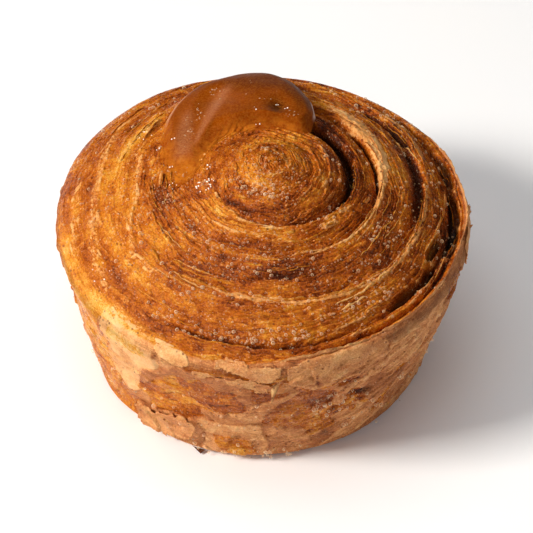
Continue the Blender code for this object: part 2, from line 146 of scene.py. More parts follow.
# Marks along the coils: (angle, radius in mm) points, half width in mm, relief in mm, paleness, tone shift.
# Angles run anticlockwise from the right-hand side and may pass 360.
marks = (
    # inner wall of the open coil on the right, torn and pale
    (((283, 21.9), (300, 22.9), (330, 23.9), (345, 24.0), (360, 24.8), (375, 26.0), (390, 26.8), (405, 27.6),
      (420, 29.8), (432, 31.4)), (0.5, 0.5, 0.4, 0.6, 0.8, 1.5, 1.7, 2.3, 2.6, 1.6), 0.35, 1.0, 0.2),
    # slit just inside it, darkened with painted shade
    (((350, 23.5), (362, 23.6), (375, 23.9), (392, 24.3), (405, 24.8)), (0.3,), -1.3, 0.0, -0.35),
    # double pale streak across the front
    (((234, 30.4), (250, 30.2), (270, 30.9), (285, 32.2), (300, 33.2), (330, 34.2), (345, 34.2), (360, 34.6),
      (372, 36.0)), (0.35, 0.5, 0.8, 0.5, 0.4, 0.45, 0.55, 0.5, 0.4), 0.35, 0.85, 0.05),
    (((268, 31.6), (285, 31.4), (300, 32.2), (330, 33.0), (350, 33.2), (366, 34.2)),
     (0.25,), 0.25, 0.7, 0.0),
    # right-hand valley, darkened with painted shade, and the pale streaks in it
    (((340, 32.0), (360, 33.0), (375, 34.2), (390, 35.2), (405, 36.0), (425, 36.8)),
     (1.1,), -0.8, 0.06, -0.38),
    (((372, 36.6), (390, 38.0), (405, 38.8), (425, 39.4), (445, 39.6)), (0.7,), 0.2, 0.75, 0.0),
    (((384, 33.4), (400, 34.6), (415, 35.0)), (0.3,), 0.3, 0.6, 0.0),
    # nub groove floor: darkest of all, painted shade where the nub shades it
    (((318, 16.6), (335, 17.6), (350, 17.9), (370, 18.0), (390, 18.9), (405, 20.2), (420, 22.6),
      (435, 24.0)),
     (0.9, 1.2, 1.3, 1.4, 1.5, 2.0, 2.4, 2.0), -0.6, 0.0, -0.40),
    # nub's own leaves at its right flank
    (((300, 13.6), (330, 14.6), (360, 15.4), (390, 16.2), (410, 17.0)), (0.3,), 0.45, 0.4, 0.1),
    (((330, 12.4), (360, 13.2), (390, 13.6), (405, 14.0)), (0.25,), 0.35, 0.3, 0.1),
    (((296, 10.8), (330, 10.4), (352, 11.0), (364, 12.0)), (0.25,), 0.3, 0.45, 0.05),
    # pale scraps at the lower right of the nub
    (((306, 18.0), (313, 18.6), (320, 19.2)), (0.6,), 0.3, 0.8, 0.1),
    (((322, 18.2), (330, 18.8), (338, 19.6)), (0.35,), 0.3, 0.7, 0.05),
    (((343, 21.6), (350, 22.2)), (0.3,), 0.3, 0.8, 0.1),
    # golden leaves across the front of the nub
    (((198, 12.6), (225, 13.4), (250, 14.6), (275, 15.6), (290, 16.6)), (0.5,), 0.2, 0.35, 0.12),
    (((206, 17.4), (225, 17.6), (250, 17.2), (275, 18.0), (290, 18.4)), (0.4,), 0.2, 0.3, 0.1),
    # collar's inner edge: painted shade in its dark line and groove, then strata and the outer wrap's pale
    # edge
    (((236, 38.8), (262, 39.5), (285, 39.9), (302, 39.6)), (0.3,), -0.5, 0.0, -0.2),
    (((283, 40.9), (300, 41.2), (325, 41.2), (345, 41.8)), (0.25,), 0.4, 0.35, 0.05),
    (((283, 42.0), (300, 41.9), (325, 42.1), (345, 42.4)), (0.3,), -0.9, 0.0, -0.3),
    (((345, 37.5), (360, 39.0), (369, 39.7)), (0.22,), 0.5, 0.7, 0.0),
    (((288, 38.8), (300, 38.6), (308, 37.6), (318, 37.5)), (0.22,), 0.4, 0.55, 0.05),
    # soft pale ridges on the left
    (((132, 38.4), (147, 37.6), (168, 36.3), (186, 36.6), (199, 38.2), (215, 40.2), (226, 42.0)),
     (1.0,), 0.3, 0.42, 0.10),
    (((146, 30.2), (160, 28.4), (172, 27.7), (188, 28.0), (197, 30.2), (212, 33.0), (224, 32.4),
      (237, 30.9)),
     (0.8,), 0.25, 0.40, 0.10),
    (((136, 31.4), (150, 30.4)), (0.6,), 0.3, 0.5, 0.1),
    (((160, 40.6), (185, 40.8), (204, 42.0)), (0.9,), 0.15, 0.35, 0.06),
    (((172, 22.6), (184, 23.2)), (0.35,), 0.2, 0.5, 0.12),
    (((220, 42.6), (230, 42.6), (240, 43.2)), (1.3,), 0.1, 0.42, 0.0),
    (((150, 34.8), (165, 33.6), (185, 32.6)), (1.2,), -0.2, 0.0, -0.1),
)

# Hollows under lifted leaves near the right-hand rim, with painted shade in them: angle, radius mm, half
# angle, half width mm, depth mm
pockets = (
    (318, 39.2, 7, 1.0, 1.3),
    (329, 39.8, 5, 1.1, 1.4),
    (340, 38.3, 5.5, 0.9, 1.3),
    (357, 41.0, 12, 1.3, 1.6),
    (346, 41.3, 7, 1.3, 1.4),
    (376, 41.8, 8, 1.0, 1.2),
    (394, 35.8, 7, 1.1, 0.8),
)

# Where the bake is darker or lighter, and where shade is painted in: angle, radius mm, half angle, half
# width mm, shift
bakeAndShadePatches = (
    (188, 33.0, 46, 5.0, 0.20),
    (214, 44.5, 26, 3.0, 0.28),
    (262, 4.0, 60, 4.0, 0.10),
    (80, 5.0, 80, 5.0, 0.10),
    (276, 12.0, 44, 2.8, -0.15),
    (234, 14.4, 15, 1.8, 0.15),
    (90, 0.5, 300, 4.5, 0.06),
    # painted shade in the right-hand valley
    (8, 33.6, 14, 1.6, -0.34),
    (354, 39.5, 12, 2.0, -0.16),
    (226, 43.4, 9, 2.2, 0.30),
    (150, 32.0, 25, 4.0, 0.08),
    (200, 23.8, 42, 3.0, -0.04),
    (160, 24.5, 26, 3.0, -0.02),
    (300, 27.4, 34, 2.8, -0.19),
    (340, 28.2, 22, 2.6, -0.14),
    (266, 24.5, 26, 3.6, -0.20),
    (330, 20.5, 26, 1.8, -0.12),
    (20, 20.8, 34, 2.0, -0.14),
    (280, 36.5, 34, 2.0, 0.04),
    (24, 29.4, 30, 1.6, 0.03),
    (350, 36.4, 20, 1.6, -0.06),
    (300, 40.4, 30, 1.0, -0.12),
    (350, 40.4, 26, 1.6, -0.22),
    (30, 41.4, 30, 1.6, -0.05),
    (140, 36.0, 16, 2.2, -0.12),
)


def spread(points, widths, position):
    # Radius and half width at an angle along a mark, or None outside it
    if position < points[0][0] or position > points[-1][0]:
        return None
    for i in range(len(points) - 1):
        if position <= points[i + 1][0]:
            f = (position - points[i][0]) / (points[i + 1][0] - points[i][0])
            f = f * f * (3 - 2 * f) * 0.4 + f * 0.6
            radius = points[i][1] * (1 - f) + points[i + 1][1] * f
            wide = widths[0]
            if len(widths) > 1:
                wide = widths[i] * (1 - f) + widths[i + 1] * f
            return radius, wide
    return None


halfDegrees = 720


def tabulate(lines):
    # For each half degree, the marks that cross it, so that a point looks up only those
    table = [[] for _ in range(halfDegrees)]
    for points, widths, relief, pale, tone in lines:
        length = points[-1][0] - points[0][0]
        for half in range(halfDegrees):
            for lap in (0, 360, -360):
                found = spread(points, widths, half / 2 + lap)
                if found:
                    along = (half / 2 + lap - points[0][0]) / length
                    fade = min(1.0, 6 * along, 6 * (1 - along))
                    radius, wide = found
                    row = (radius * mm, wide * mm, relief * mm * fade, pale * fade, tone * fade)
                    table[half].append(row)
    return table


def tabulatePatches(patches):
    # The same for round patches: what is left of each at that angle, ready for the radius
    table = [[] for _ in range(halfDegrees)]
    for middle, radius, halfAngle, halfWidth, shift in patches:
        for half in range(halfDegrees):
            off = angleOff(half / 2, middle) / halfAngle
            if abs(off) < 2.2:
                table[half].append((radius * mm, halfWidth * mm, shift * math.exp(-off * off)))
    return table


markTable = tabulate(marks)
bakeAndShadeTable = tabulatePatches(bakeAndShadePatches)


def plainDome(radius):
    return body["rimHeight"] + body["crownRise"] * (1 - (radius / body["rimRadius"]) ** body["fullness"])


def bulge(degrees, share):
    a = math.radians(degrees)
    atRim = 0.0085 * math.cos(2 * a + 2.36) + 0.006 * math.cos(3 * a) + 0.003 * math.cos(9 * a + 0.4)
    atBase = 0.0118 * math.cos(2 * a - 1.88) - 0.0036 * math.cos(3 * a)
    corner = 0.018 * angleBump(degrees, 209, 8) - 0.030 * angleBump(degrees, 230, 9)
    corner *= bump(share, 0.2, 0.22)
    drawnIn = 0.020 * angleBump(degrees, 192, 28) * bump(share, 0.78, 0.16)
    drawnIn += 0.012 * angleBump(degrees, 356, 50) + 0.022 * angleBump(degrees, 280, 34) * (1 - share)
    return atBase + (atRim - atBase) * share + corner - drawnIn


def backSag(degrees, radius):
    return body["backSag"] * angleBump(degrees, 85, 42) * smoothStep(0.72, 0.94, radius / body["rimRadius"])


# Unevenness of the crown: sizes and heights in metres. A pair is the size along the coils and across them.
crown = {
    "broad": 7 * mm,
    "close": 2.4 * mm,
    "rough": 0.8 * mm,
    "fibre": (4.2 * mm, 0.62 * mm),
    "drawn": (11 * mm, 2.6 * mm),
    "flake": (3.6 * mm, 0.9 * mm),
    "fibreRise": 0.10 * mm,
    "flakeRise": 0.14 * mm,
    "pocketLip": 0.35 * mm,
    "plainTone": 0.45,
    "palestMiddle": 0.18,
    "filled": 0.65,  # how far the smooth side's grooves are filled
}


def soaked(degrees, radius):
    # Share of caramel soaked into the nub's left flank, where the leaves are filled
    return angleBump(degrees, 160, 38) * bump(radius, 13.4 * mm, 3.8 * mm)


def smoothShare(degrees, radius):
    # The golden side, and where caramel has soaked in
    golden = angleBump(degrees, 185, 58) * smoothStep(24 * mm, 29 * mm, radius)
    below = 0.85 * angleBump(degrees, 168, 24) * bump(radius, 20 * mm, 5 * mm)
    return max(golden, soaked(degrees, radius), below)


def coilAt(degrees, radius):
    # The coil under a spot: its turn, the share across it, its width and how deep its grooves are
    turns = coil["firstTurn"] + ((degrees / 360 - coil["firstTurn"]) % 1)
    inner, innerDepth = grooveAt(turns)
    while turns < 3.8:
        outer, outerDepth = grooveAt(turns + 1)
        if radius < outer:
            break
        inner, innerDepth = outer, outerDepth
        turns += 1
    width = max(outer - inner, 0.4 * mm)
    across = min(max((radius - inner) / width, 0.0), 1.0)
    return turns, across, width, innerDepth * (1 - across) + outerDepth * across


def coilNoise(x, y, radius, size, shift=0.0):
    along, across = size
    return noise.noise(Vector((x / along, y / along, shift + radius / across)))


def roundNoise(x, y, size, shift):
    return noise.noise(Vector((x / size, y / size, shift)))


def withMarks(half, radius, wobble, rough, relief, tone, pale):
    for spotRadius, wide, lift, bare, shift in markTable[half]:
        off = abs(radius + wobble * min(1.0, wide / (0.5 * mm)) - spotRadius) / wide
        if off < 2.2:
            held = math.exp(-(off ** 4)) * (1 + 0.5 * rough)
            relief += lift * held
            pale += bare * held
            tone += shift * held
    return relief, tone, pale


def withPockets(degrees, radius, wobble, rough, relief, pale, shadeAndScorch):
    for at, spotRadius, halfAngle, halfWidth, sink in pockets:
        offAngle = angleOff(degrees, at) / halfAngle
        if abs(offAngle) < 1.8:
            off = math.hypot(offAngle, (radius - spotRadius * mm + 0.6 * wobble) / (halfWidth * mm))
            held = smoothStep(1.15, 0.7, off)
            relief -= sink * mm * held
            # painted shade under the lifted leaf
            shadeAndScorch += 0.75 * held
            lip = bump(off, 1.2, 0.12)
            pale += 0.6 * lip * (0.6 + rough)
            relief += crown["pocketLip"] * lip
    return relief, pale, shadeAndScorch


def withPatches(half, radius, tone):
    for spotRadius, halfWidth, shift in bakeAndShadeTable[half]:
        off = (radius - spotRadius) / halfWidth
        if -2.2 < off < 2.2:
            tone += shift * math.exp(-off * off)
    return tone


def crownRelief(x, y):
    # Rise above the dome, and how the spot is baked: tone, paleness, painted shade in a hollow, leaves,
    # leafiness
    degrees, radius = coilPlace(x, y)
    turns, across, width, depth = coilAt(degrees, radius)
    smooth = smoothShare(degrees, radius)
    depth *= 1 - crown["filled"] * smooth
    rise = 1 - (1 - min(1.0, across * width / ((1.3 + 1.2 * smooth) * mm))) ** 2
    hump = rise * (1 - across ** 3.2)
    relief = -depth * (1 - hump)
    # leaves of dough within the coil, in steps whose torn edges face the middle
    broad = roundNoise(x, y, crown["broad"], 1.3)
    close = roundNoise(x, y, crown["close"], 4.1)
    rough = roundNoise(x, y, crown["rough"], 7.2)
    fibre = coilNoise(x, y, radius, crown["fibre"])
    drawn = coilNoise(x, y, radius, crown["drawn"])
    middle = bump(radius, 0, 10 * mm)
    layer = (coil["leaves"] * (turns + across) + 1.6 * broad + 1.1 * drawn
             + (0.22 + 1.3 * middle) * close + 0.3 * fibre)
    layer += 0.7 * middle * rough
    leaf = math.floor(layer)
    part = layer - leaf
    torn = roundNoise(x, y, 6 * mm, leaf * 3.71)
    strength = (0.35 + 1.5 * max(0.0, torn + 0.15)) * (1 - 0.7 * smooth)
    step = smoothStep(0.0, 0.2, part) * (1 - part) ** 0.8
    steps = coil["leafRise"] * strength * (step - 0.45)
    relief += crown["fibreRise"] * fibre * (1 - 0.6 * smooth)
    # the last term, lighter on the coils' humps and darker down deep grooves, is painted shade
    tone = (crown["plainTone"] + 0.08 * broad + 0.10 * close + 0.26 * drawn
            + 0.10 * (hump - 0.6) * min(1.0, depth / mm))
    pale = crown["palestMiddle"] * bump(radius, 0, 8 * mm)
    # painted shade, darker the deeper the spot lies below the dome
    shadeAndScorch = smoothStep(1.2 * mm, 3.6 * mm, -relief) * 0.8
    # flakes that lie along the coils, paler than what they lie on
    flaky = coilNoise(x, y, radius, crown["flake"], 20) + 0.25 * rough
    flake = smoothStep(0.24, 0.36, flaky)
    relief += crown["flakeRise"] * flake
    pale += 0.28 * flake
    tone += 0.08 * flake - 0.10 * bump(flaky, 0.17, 0.07)
    # the named marks, pockets and patches, with uneven edges
    wobble = 0.32 * mm * roundNoise(x, y, 1.6 * mm, 9.7)
    wobble += 0.5 * mm * roundNoise(x, y, 4.5 * mm, 2.9)
    half = int(degrees * 2) % halfDegrees
    relief, tone, pale = withMarks(half, radius, wobble, rough, relief, tone, pale)
    relief, pale, shadeAndScorch = withPockets(degrees, radius, wobble, rough, relief, pale, shadeAndScorch)
    tone = withPatches(half, radius, tone)
    relief += steps * (1 - 0.8 * min(1.0, pale))
    # bubbled skin
    relief += (0.10 + 0.14 * middle) * mm * rough + (0.18 + 0.2 * middle) * mm * close
    leafy = (1 - smooth) * (1 - 0.6 * middle) * (1 - 0.85 * min(1.0, pale))
    return relief, tone, pale, shadeAndScorch, layer, leafy


def nubRelief(x, y):
    away = coilPlace(x, y)[1]
    return body["nubRise"] * bump(away, 0, body["nubWidth"])


def lipRise(degrees, radius):
    share = smoothStep(262, 273, degrees) + smoothStep(40, 16, degrees)
    return 1.3 * mm * min(1.0, share) * smoothStep(0.94, 0.985, radius / body["rimRadius"])


# Edges of the wraps on the wall: (angle, height mm) points, half width mm, step mm, paleness, tone shift
wraps = (
    (((222, 29.0), (232, 30.5), (241, 27.0), (250, 28.5), (262, 27.0), (271, 31.0), (280, 29.5)),
     (0.5,), 0.7, 0.5, 0.05),
    (((150, 24.0), (170, 21.0), (190, 24.0), (205, 22.0), (218, 25.5), (230, 24.0), (243, 26.0),
      (256, 21.5), (268, 22.5),
      (280, 27.0)), (0.5,), 0.6, 0.3, 0.0),
    (((226, 9.6), (236, 10.4), (246, 7.6), (257, 9.4), (270, 6.0), (284, 8.5), (300, 6.5)),
     (0.4,), 0.8, 0.6, 0.05),
    (((236, 17.0), (247, 14.5), (258, 16.5), (270, 13.5), (281, 16.0), (295, 13.0), (312, 14.5)),
     (0.4,), 0.6, 0.35, 0.0),
    (((276, 33.0), (290, 31.0), (303, 32.5), (318, 30.5), (335, 31.5), (350, 30.0)), (0.5,), 0.6, 0.4, 0.0),
    (((281, 25.5), (292, 23.5), (302, 25.5), (316, 23.0), (330, 26.0), (348, 24.0), (362, 27.0)),
     (0.5,), 0.7, 0.5, 0.0),
    (((0, 19.0), (20, 23.0), (45, 20.0), (70, 24.0), (95, 20.5), (120, 24.5), (150, 21.0)),
     (0.5,), 0.7, 0.4, 0.0),
    (((10, 10.0), (40, 13.0), (75, 9.5), (110, 12.5), (150, 9.0), (185, 12.0), (215, 9.0)),
     (0.5,), 0.7, 0.4, 0.0),
    (((20, 31.0), (50, 29.0), (85, 32.0), (120, 29.5), (160, 31.5), (200, 30.0)), (0.5,), 0.6, 0.4, 0.0),
)
wrapTable = tabulate(wraps)

# Skins of dough on the wall, over one another: outline (angle, height mm), tone, matte, stand-off in mm
wallSkins = (
    (((196, 42), (221, 42), (219, 33), (221, 24), (222, 14), (226, 8), (224, 2), (216, -3), (196, -3)),
     0.74, 0.0, 0.0),
    (((200, 17), (208, 19), (218, 18), (222, 14), (226, 8), (224, 2), (216, -3), (200, -3)),
     0.56, 0.15, 0.1),
    (((221, 42), (241, 42), (240, 36), (242, 30), (234, 24), (231, 17), (226, 13), (222, 15), (221, 26)),
     0.92, 0.9, 0.3),
    (((224, 38), (236, 38), (239, 34), (231, 32.5), (225, 34)), 0.86, 0.2, 0.1),
    (((222, 33), (227, 31), (227, 16), (223, 15), (221.5, 24)), 0.93, 1.0, 0.2),
    (((231, 15), (233, 22), (238, 26), (243, 30), (250, 31), (262, 28), (266, 22), (262, 17), (250, 14),
      (240, 11)),
     0.66, 0.25, 0.0),
    (((246, 30), (258, 29.5), (262.5, 27), (265.5, 24), (266, 21), (263, 19), (258, 18.5), (252, 20),
      (249, 23), (246, 26)),
     0.44, 0.0, 0.1),
    (((230, 18), (233, 22), (238, 22), (243, 20), (241, 18), (235, 17)), 0.49, 0.1, 0.0),
    (((232, 19), (235, 27), (241, 31), (249, 34.5), (255, 33), (261, 34.5), (266, 33), (269, 31),
      (269.5, 27), (266, 23.5),
      (264, 24.5), (262, 27), (257, 29.5), (251, 31), (245, 30), (239.5, 27), (237, 23)), 0.45, 1.0, 0.35),
    (((253, 22), (257, 19.5), (262, 18.7), (266, 21), (269, 25), (268, 21), (264, 17.6), (258, 17.4)),
     0.66, 0.9, 0.3),
    (((234, 17.5), (243, 19), (251, 18.5), (253, 14.5), (247, 13.6), (240, 12), (232, 10)), 0.55, 0.0, -0.2),
    (((246, 18), (252, 18), (252.5, 15), (247, 14.3)), 0.40, 0.0, -0.3),
    (((251, 18.5), (258, 18), (265, 17.5), (268, 14.5), (262, 14.2), (256, 13.8), (252.5, 15)),
     0.52, 0.8, 0.2),
    (((226.5, 9), (232, 9.4), (238, 12), (245, 13.6), (250, 13.6), (252, 10), (249, 6), (243, 2),
      (236, 0), (227, -3)),
     0.62, 1.0, 0.9),
    (((226.5, 9), (231, 9.2), (235, 5), (233, -3), (226, -3)), 0.97, 1.0, 0.95),
    (((250, 13.7), (256, 13.8), (264, 14.4), (270, 13.2), (272, 7), (270, 1), (262, 0), (254, -2),
      (250, 2), (252, 9)),
     0.74, 0.9, 0.6),
    (((254, 9), (260, 9.6), (266, 8.4), (267, 3), (262, 1.6), (256, 3)), 0.56, 0.2, 0.5),
    (((266, 33), (272, 29), (279, 29), (286, 27), (292, 24), (292, 20), (282, 21), (274, 21), (268, 24)),
     0.42, 0.30, -0.2),
    (((270, 24), (274, 27), (279, 29), (280, 28), (275, 24.5), (272, 21), (269, 21)), 0.64, 0.9, 0.4),
    (((275, 37.5), (283, 38), (283, 33), (287, 29.5), (292, 30.5), (300, 28.5), (305, 25), (308, 27),
      (306, 34), (311, 42),
      (280, 42)), 0.60, 1.0, 0.5),
    (((275, 33), (278, 32), (284, 28.4), (286, 29), (283, 33), (280, 35)), 0.76, 1.0, 0.6),
    (((283, 37), (290, 38), (292, 33.5), (287, 31), (283.5, 33)), 0.34, 1.0, 0.4),
    (((272, 20), (282, 21), (290, 19), (292, 12), (284, 10), (276, 13), (270, 15)), 0.55, 0.35, 0.1),
    (((272, 14), (279, 13), (286, 8), (293, 8), (300, 14), (307, 8), (300, -3), (272, -3)), 0.62, 0.9, 0.2),
    (((283, 6), (290, 7.5), (294, 5), (290, 2), (284, 3)), 0.36, 1.0, 0.25),
    # two sunk holes, dark with painted shade
    (((298, 20.2), (304, 20.2), (304.5, 18.9), (300, 18.4)), 0.30, 0.0, -0.6),
    (((292, 27.6), (297, 27), (298, 26), (293, 26.4)), 0.28, 0.0, -0.6),
    (((306, 42), (332, 42), (333, 33), (326, 28), (320, 24), (308, 25)), 0.72, 1.0, 0.2),
    (((303, 24), (311, 22), (313, 17), (306, 15), (301, 18)), 0.42, 1.0, 0.1),
    (((312, 20), (322, 22), (330, 14), (326, 4), (314, 3)), 0.40, 0.8, 0.1),
    (((340, 40), (368, 40), (370, 30), (358, 26), (344, 29)), 0.68, 1.0, 0.5),
    (((330, 26), (346, 28), (358, 25), (378, 20), (378, -3), (340, -3), (329, 8)), 0.66, 0.9, 0.1),
    (((20, 34), (48, 38), (62, 30), (44, 22), (24, 20)), 0.66, 1.0, 0.4),
    (((66, 24), (96, 33), (118, 26), (104, 14), (74, 12)), 0.60, 0.9, 0.4),
    (((122, 20), (146, 30), (168, 24), (156, 10), (130, 8)), 0.66, 0.4, 0.4),
    (((168, 40), (178, 40), (196, 34), (192, 22), (178, 24), (166, 32)), 0.62, 0.0, 0.5),
)
arcScale = 0.70  # mm of wall to a degree
lapWidth = 360 * arcScale  # mm of wall all the way round


def outlineSides(points):
    # The outline in mm, with its box, so that far points are passed over
    flat = [(angle * arcScale, height) for angle, height in points]
    across = [spot[0] for spot in flat]
    high = [spot[1] for spot in flat]
    box = (min(across) - 2, max(across) + 2, min(high) - 2, max(high) + 2)
    sides = []
    for (ax, ay), (bx, by) in zip(flat, flat[1:] + flat[:1]):
        sides.append((ax, ay, by, bx - ax, by - ay, (bx - ax) ** 2 + (by - ay) ** 2))
    return box, sides


def depthInside(sides, x, y):
    # Distance from the outline, positive inside it
    nearest = 1e9
    inside = False
    for ax, ay, by, dx, dy, square in sides:
        f = ((x - ax) * dx + (y - ay) * dy) / square
        f = 0.0 if f < 0 else 1.0 if f > 1 else f
        off = (x - ax - f * dx) ** 2 + (y - ay - f * dy) ** 2
        if off < nearest:
            nearest = off
        if (ay > y) != (by > y) and x < ax + (y - ay) / dy * dx:
            inside = not inside
    return math.sqrt(nearest) if inside else -math.sqrt(nearest)


skinOutlines = [(outlineSides(points), tone, matte, off) for points, tone, matte, off in wallSkins]


# Unevenness of the wall
wall = {
    "ringRadius": 36,  # mm, of the ring that the noise is read on
    "leafHeight": 4.6,  # mm between two leaves
    "leafRise": 0.42 * mm,
    "buckle": 1.0 * mm,
    "ripple": 0.30 * mm,
    "grain": 0.09 * mm,
    "plainTone": 0.58,
    "slantAngle": 303,  # where the flakes slant, and how far to each side
    "slantReach": 30,
    "slantRise": 0.28 * mm,
    "edgeDark": 0.22,
}


def withWraps(half, height, wobble, share, grain, out, tone, pale):
    # The edges of the wraps, on the sides that no skin covers
    for spotHeight, wide, step, bare, shift in wrapTable[half]:
        off = (height + wobble - spotHeight) / wide
        edge = bump(off, -0.9, 0.8) * share
        out += share * step * smoothStep(0.5, -0.5, off) * smoothStep(-14, -1.5, off)
        pale += bare * edge * (0.8 + grain)
        tone += shift * edge - wall["edgeDark"] * share * bump(off, 0.9, 0.7)
    return out, tone, pale


def withSlant(degrees, height, warp, share, out, tone, pale):
    # Slanting flakes on the right-hand side of the front
    arc = degrees * arcScale
    slant = height / mm - 0.5 * arc + 0.8 * warp
    streak = noise.noise(Vector((arc / 6, slant / 1.5, 31)))
    streak += 0.4 * noise.noise(Vector((arc / 3, slant / 0.6, 35)))
    edge = smoothStep(0.02, 0.12, streak)
    tone += share * (0.16 * edge - 0.22 * bump(streak, -0.03, 0.06) - 0.04)
    out += share * wall["slantRise"] * (edge - 0.4)
    pale += 0.35 * share * bump(streak, 0.14, 0.06)
    return out, tone, pale


def withSkins(x, y, slanted, grain, out, tone, pale, matte):
    # Each skin lies over those before it, with a pale lip inside its outline and a dark line of painted
    # shade outside
    plainShift = (0.5 + 0.4 * slanted) * (tone - wall["plainTone"])
    for (box, sides), skinTone, skinMatte, off in skinOutlines:
        for lap in (0, lapWidth):
            if box[0] < x + lap < box[1] and box[2] < y < box[3]:
                depth = depthInside(sides, x + lap, y)
                held = smoothStep(-0.18, 0.18, depth)
                tone += (skinTone + plainShift - tone) * held
                matte += (skinMatte - matte) * held
                out += off * 0.7 * mm * smoothStep(-0.12, 0.12, depth) * math.exp(-max(0.0, depth) / 6)
                pale += 0.30 * bump(depth, 0.25, 0.25) * max(0.0, off) * (0.8 + grain)
                # painted shade beside the edge, darker the further the skin stands off
                tone -= 0.16 * bump(depth, -0.3, 0.3) * min(1.0, 2 * abs(off))
    return out, tone, pale, matte


def wallRelief(degrees, height):
    # How far the wall stands out, and its tone, paleness, matteness and leaves
    a = math.radians(degrees)
    ring = Vector((wall["ringRadius"] * math.cos(a), wall["ringRadius"] * math.sin(a), height / mm))
    warp = noise.noise(ring / 9 + Vector((2, 8, 5)))
    flow = noise.noise(Vector((ring.x / 13, ring.y / 13, ring.z / 8)) + Vector((warp, 0.8 * warp, 0)))
    fine = noise.noise(ring / 3.2)
    grain = noise.noise(ring / 0.9)
    # the leaves dip at the front and at the back
    dip = 9.0 * angleBump(degrees, 254, 34) + 6.0 * angleBump(degrees, 80, 40)
    layer = (height / mm + dip) / wall["leafHeight"] + 2.6 * flow + 0.55 * fine
    leaf = math.floor(layer)
    part = layer - leaf
    kind = noise.noise(Vector((leaf * 4.3, ring.x / 30, ring.y / 30)))
    out = wall["leafRise"] * (smoothStep(0.0, 0.10, part) - part) - 0.35 * mm
    out += wall["buckle"] * noise.noise(ring / 14) + wall["ripple"] * fine + wall["grain"] * grain
    tone = wall["plainTone"] + 0.20 * kind + 0.08 * fine
    matte = 0.55 + 1.2 * kind + 0.2 * fine
    pale = 0.0
    wobble = 1.1 * mm * warp + 0.7 * mm * fine + 0.2 * mm * grain
    half = int(degrees * 2) % halfDegrees
    away = smoothStep(60, 72, abs(angleOff(degrees, 262)))
    out, tone, pale = withWraps(half, height, wobble, away, grain, out, tone, pale)
    slanted = angleBump(degrees, wall["slantAngle"], wall["slantReach"])
    if slanted > 0.02:
        out, tone, pale = withSlant(degrees, height, warp, slanted, out, tone, pale)
    x = degrees * arcScale + 0.9 * warp + 0.7 * fine + 0.35 * grain
    y = height / mm + 0.9 * fine + 0.35 * grain - 0.5 * warp
    out, tone, pale, matte = withSkins(x, y, slanted, grain, out, tone, pale, matte)
    return out, tone, pale, matte, layer


def crustPlace(place):
    # Where a point of the plain turned body lies on the baked one, with what the bake did to it and the
    # shade painted into it
    radius = math.hypot(place.x, place.y)
    degrees = math.degrees(math.atan2(place.y, place.x)) % 360 if radius > 1e-9 else 0.0
    height = place.z
    onCrown = smoothStep(body["rimHeight"] - 2.4 * mm, body["rimHeight"] + 0.4 * mm, height)
    aboveBase = smoothStep(0.2 * mm, 3 * mm, height)
    swell = radius * bulge(degrees, min(1.0, height / body["rimHeight"]))
    lift, out = 0.0, 0.0
    tone, pale, shadeAndScorch, matte, layer, leafy = 0.5, 0.0, 0.0, 0.0, 0.0, 1.0
    if onCrown > 0:
        inside = smoothStep(1.0, 0.95, radius / body["rimRadius"])
        relief, tone, pale, shadeAndScorch, layer, leafy = crownRelief(place.x, place.y)
        lift = nubRelief(place.x, place.y) + relief * inside
        lift += lipRise(degrees, radius)
        lift -= backSag(degrees, radius)
        matte = 0.75 * smoothStep(0.955, 0.985, radius / body["rimRadius"])
        matte *= smoothStep(205, 235, degrees) + smoothStep(40, 10, degrees)
    if onCrown < 1:
        wallOut, wallTone, wallPale, wallMatte, wallLayer = wallRelief(degrees, height)
        out = wallOut * aboveBase
        tone = tone * onCrown + wallTone * (1 - onCrown)
        pale = pale * onCrown + wallPale * (1 - onCrown)
        matte = matte * onCrown + wallMatte * (1 - onCrown)
        layer = layer * onCrown + wallLayer * (1 - onCrown)
        leafy = leafy * onCrown + 0.7 * (1 - onCrown)
    grown = (radius + swell + out * (1 - onCrown)) / radius if radius > 1e-9 else 1.0
    spot = Vector((place.x * grown, place.y * grown, height + lift * onCrown))
    bakeAndShade = {
        "tone": tone,
        "pale": pale,
        "shadeAndScorch": shadeAndScorch * onCrown,
        "matte": matte,
        "layer": layer,
        "leafy": leafy,
    }
    return spot, bakeAndShade


def domeEnd():
    slope = math.atan2(body["fullness"] * body["crownRise"], body["rimRadius"])
    return body["rimRadius"] - body["rimRound"] * (1 - math.sin(slope)), slope


coarse = 1
pieceLayout = {
    "steps": 800 // coarse,
    "rings": (0.0, 15.0 * mm, 29.0 * mm),  # where the crown's pieces start
    "ringRows": 110 // coarse,
    "outerRows": 104 // coarse,
    "roundRows": 10,
    "wallRows": 112 // coarse,
    "under": 30.0 * mm,  # how high the hidden undersides of the crown's pieces lie
}


def crownPoints(start, end, rows):
    points = []
    for row in range(rows + 1):
        radius = start + (end - start) * row / rows
        points.append((radius, plainDome(radius)))
    return points


def rimPoints(rows):
    inner, slope = domeEnd()
    lean = math.atan2(body["rimRadius"] - body["baseRadius"], body["rimHeight"])
    drop = plainDome(inner) - body["rimRound"] * math.cos(slope)
    centre = inner - body["rimRound"] * math.sin(slope)
    points = []
    for row in range(rows + 1):
        turn = (math.pi / 2 - slope) + (slope - math.pi / 2 - lean) * row / rows
        points.append((centre + body["rimRound"] * math.cos(turn), drop + body["rimRound"] * math.sin(turn)))
    return points


def wallPoints(rows):
    topRadius, topHeight = rimPoints(4)[-1]
    points = []
    for row in range(rows + 1):
        share = row / rows
        height = topHeight + (body["baseRound"] - topHeight) * share
        points.append((topRadius + (body["baseRadius"] - topRadius) * share, height))
    for row in range(1, 7):
        turn = math.pi / 2 * row / 6
        points.append((body["baseRadius"] - body["baseRound"] * (1 - math.cos(turn)),
                       body["baseRound"] * (1 - math.sin(turn))))
    return points


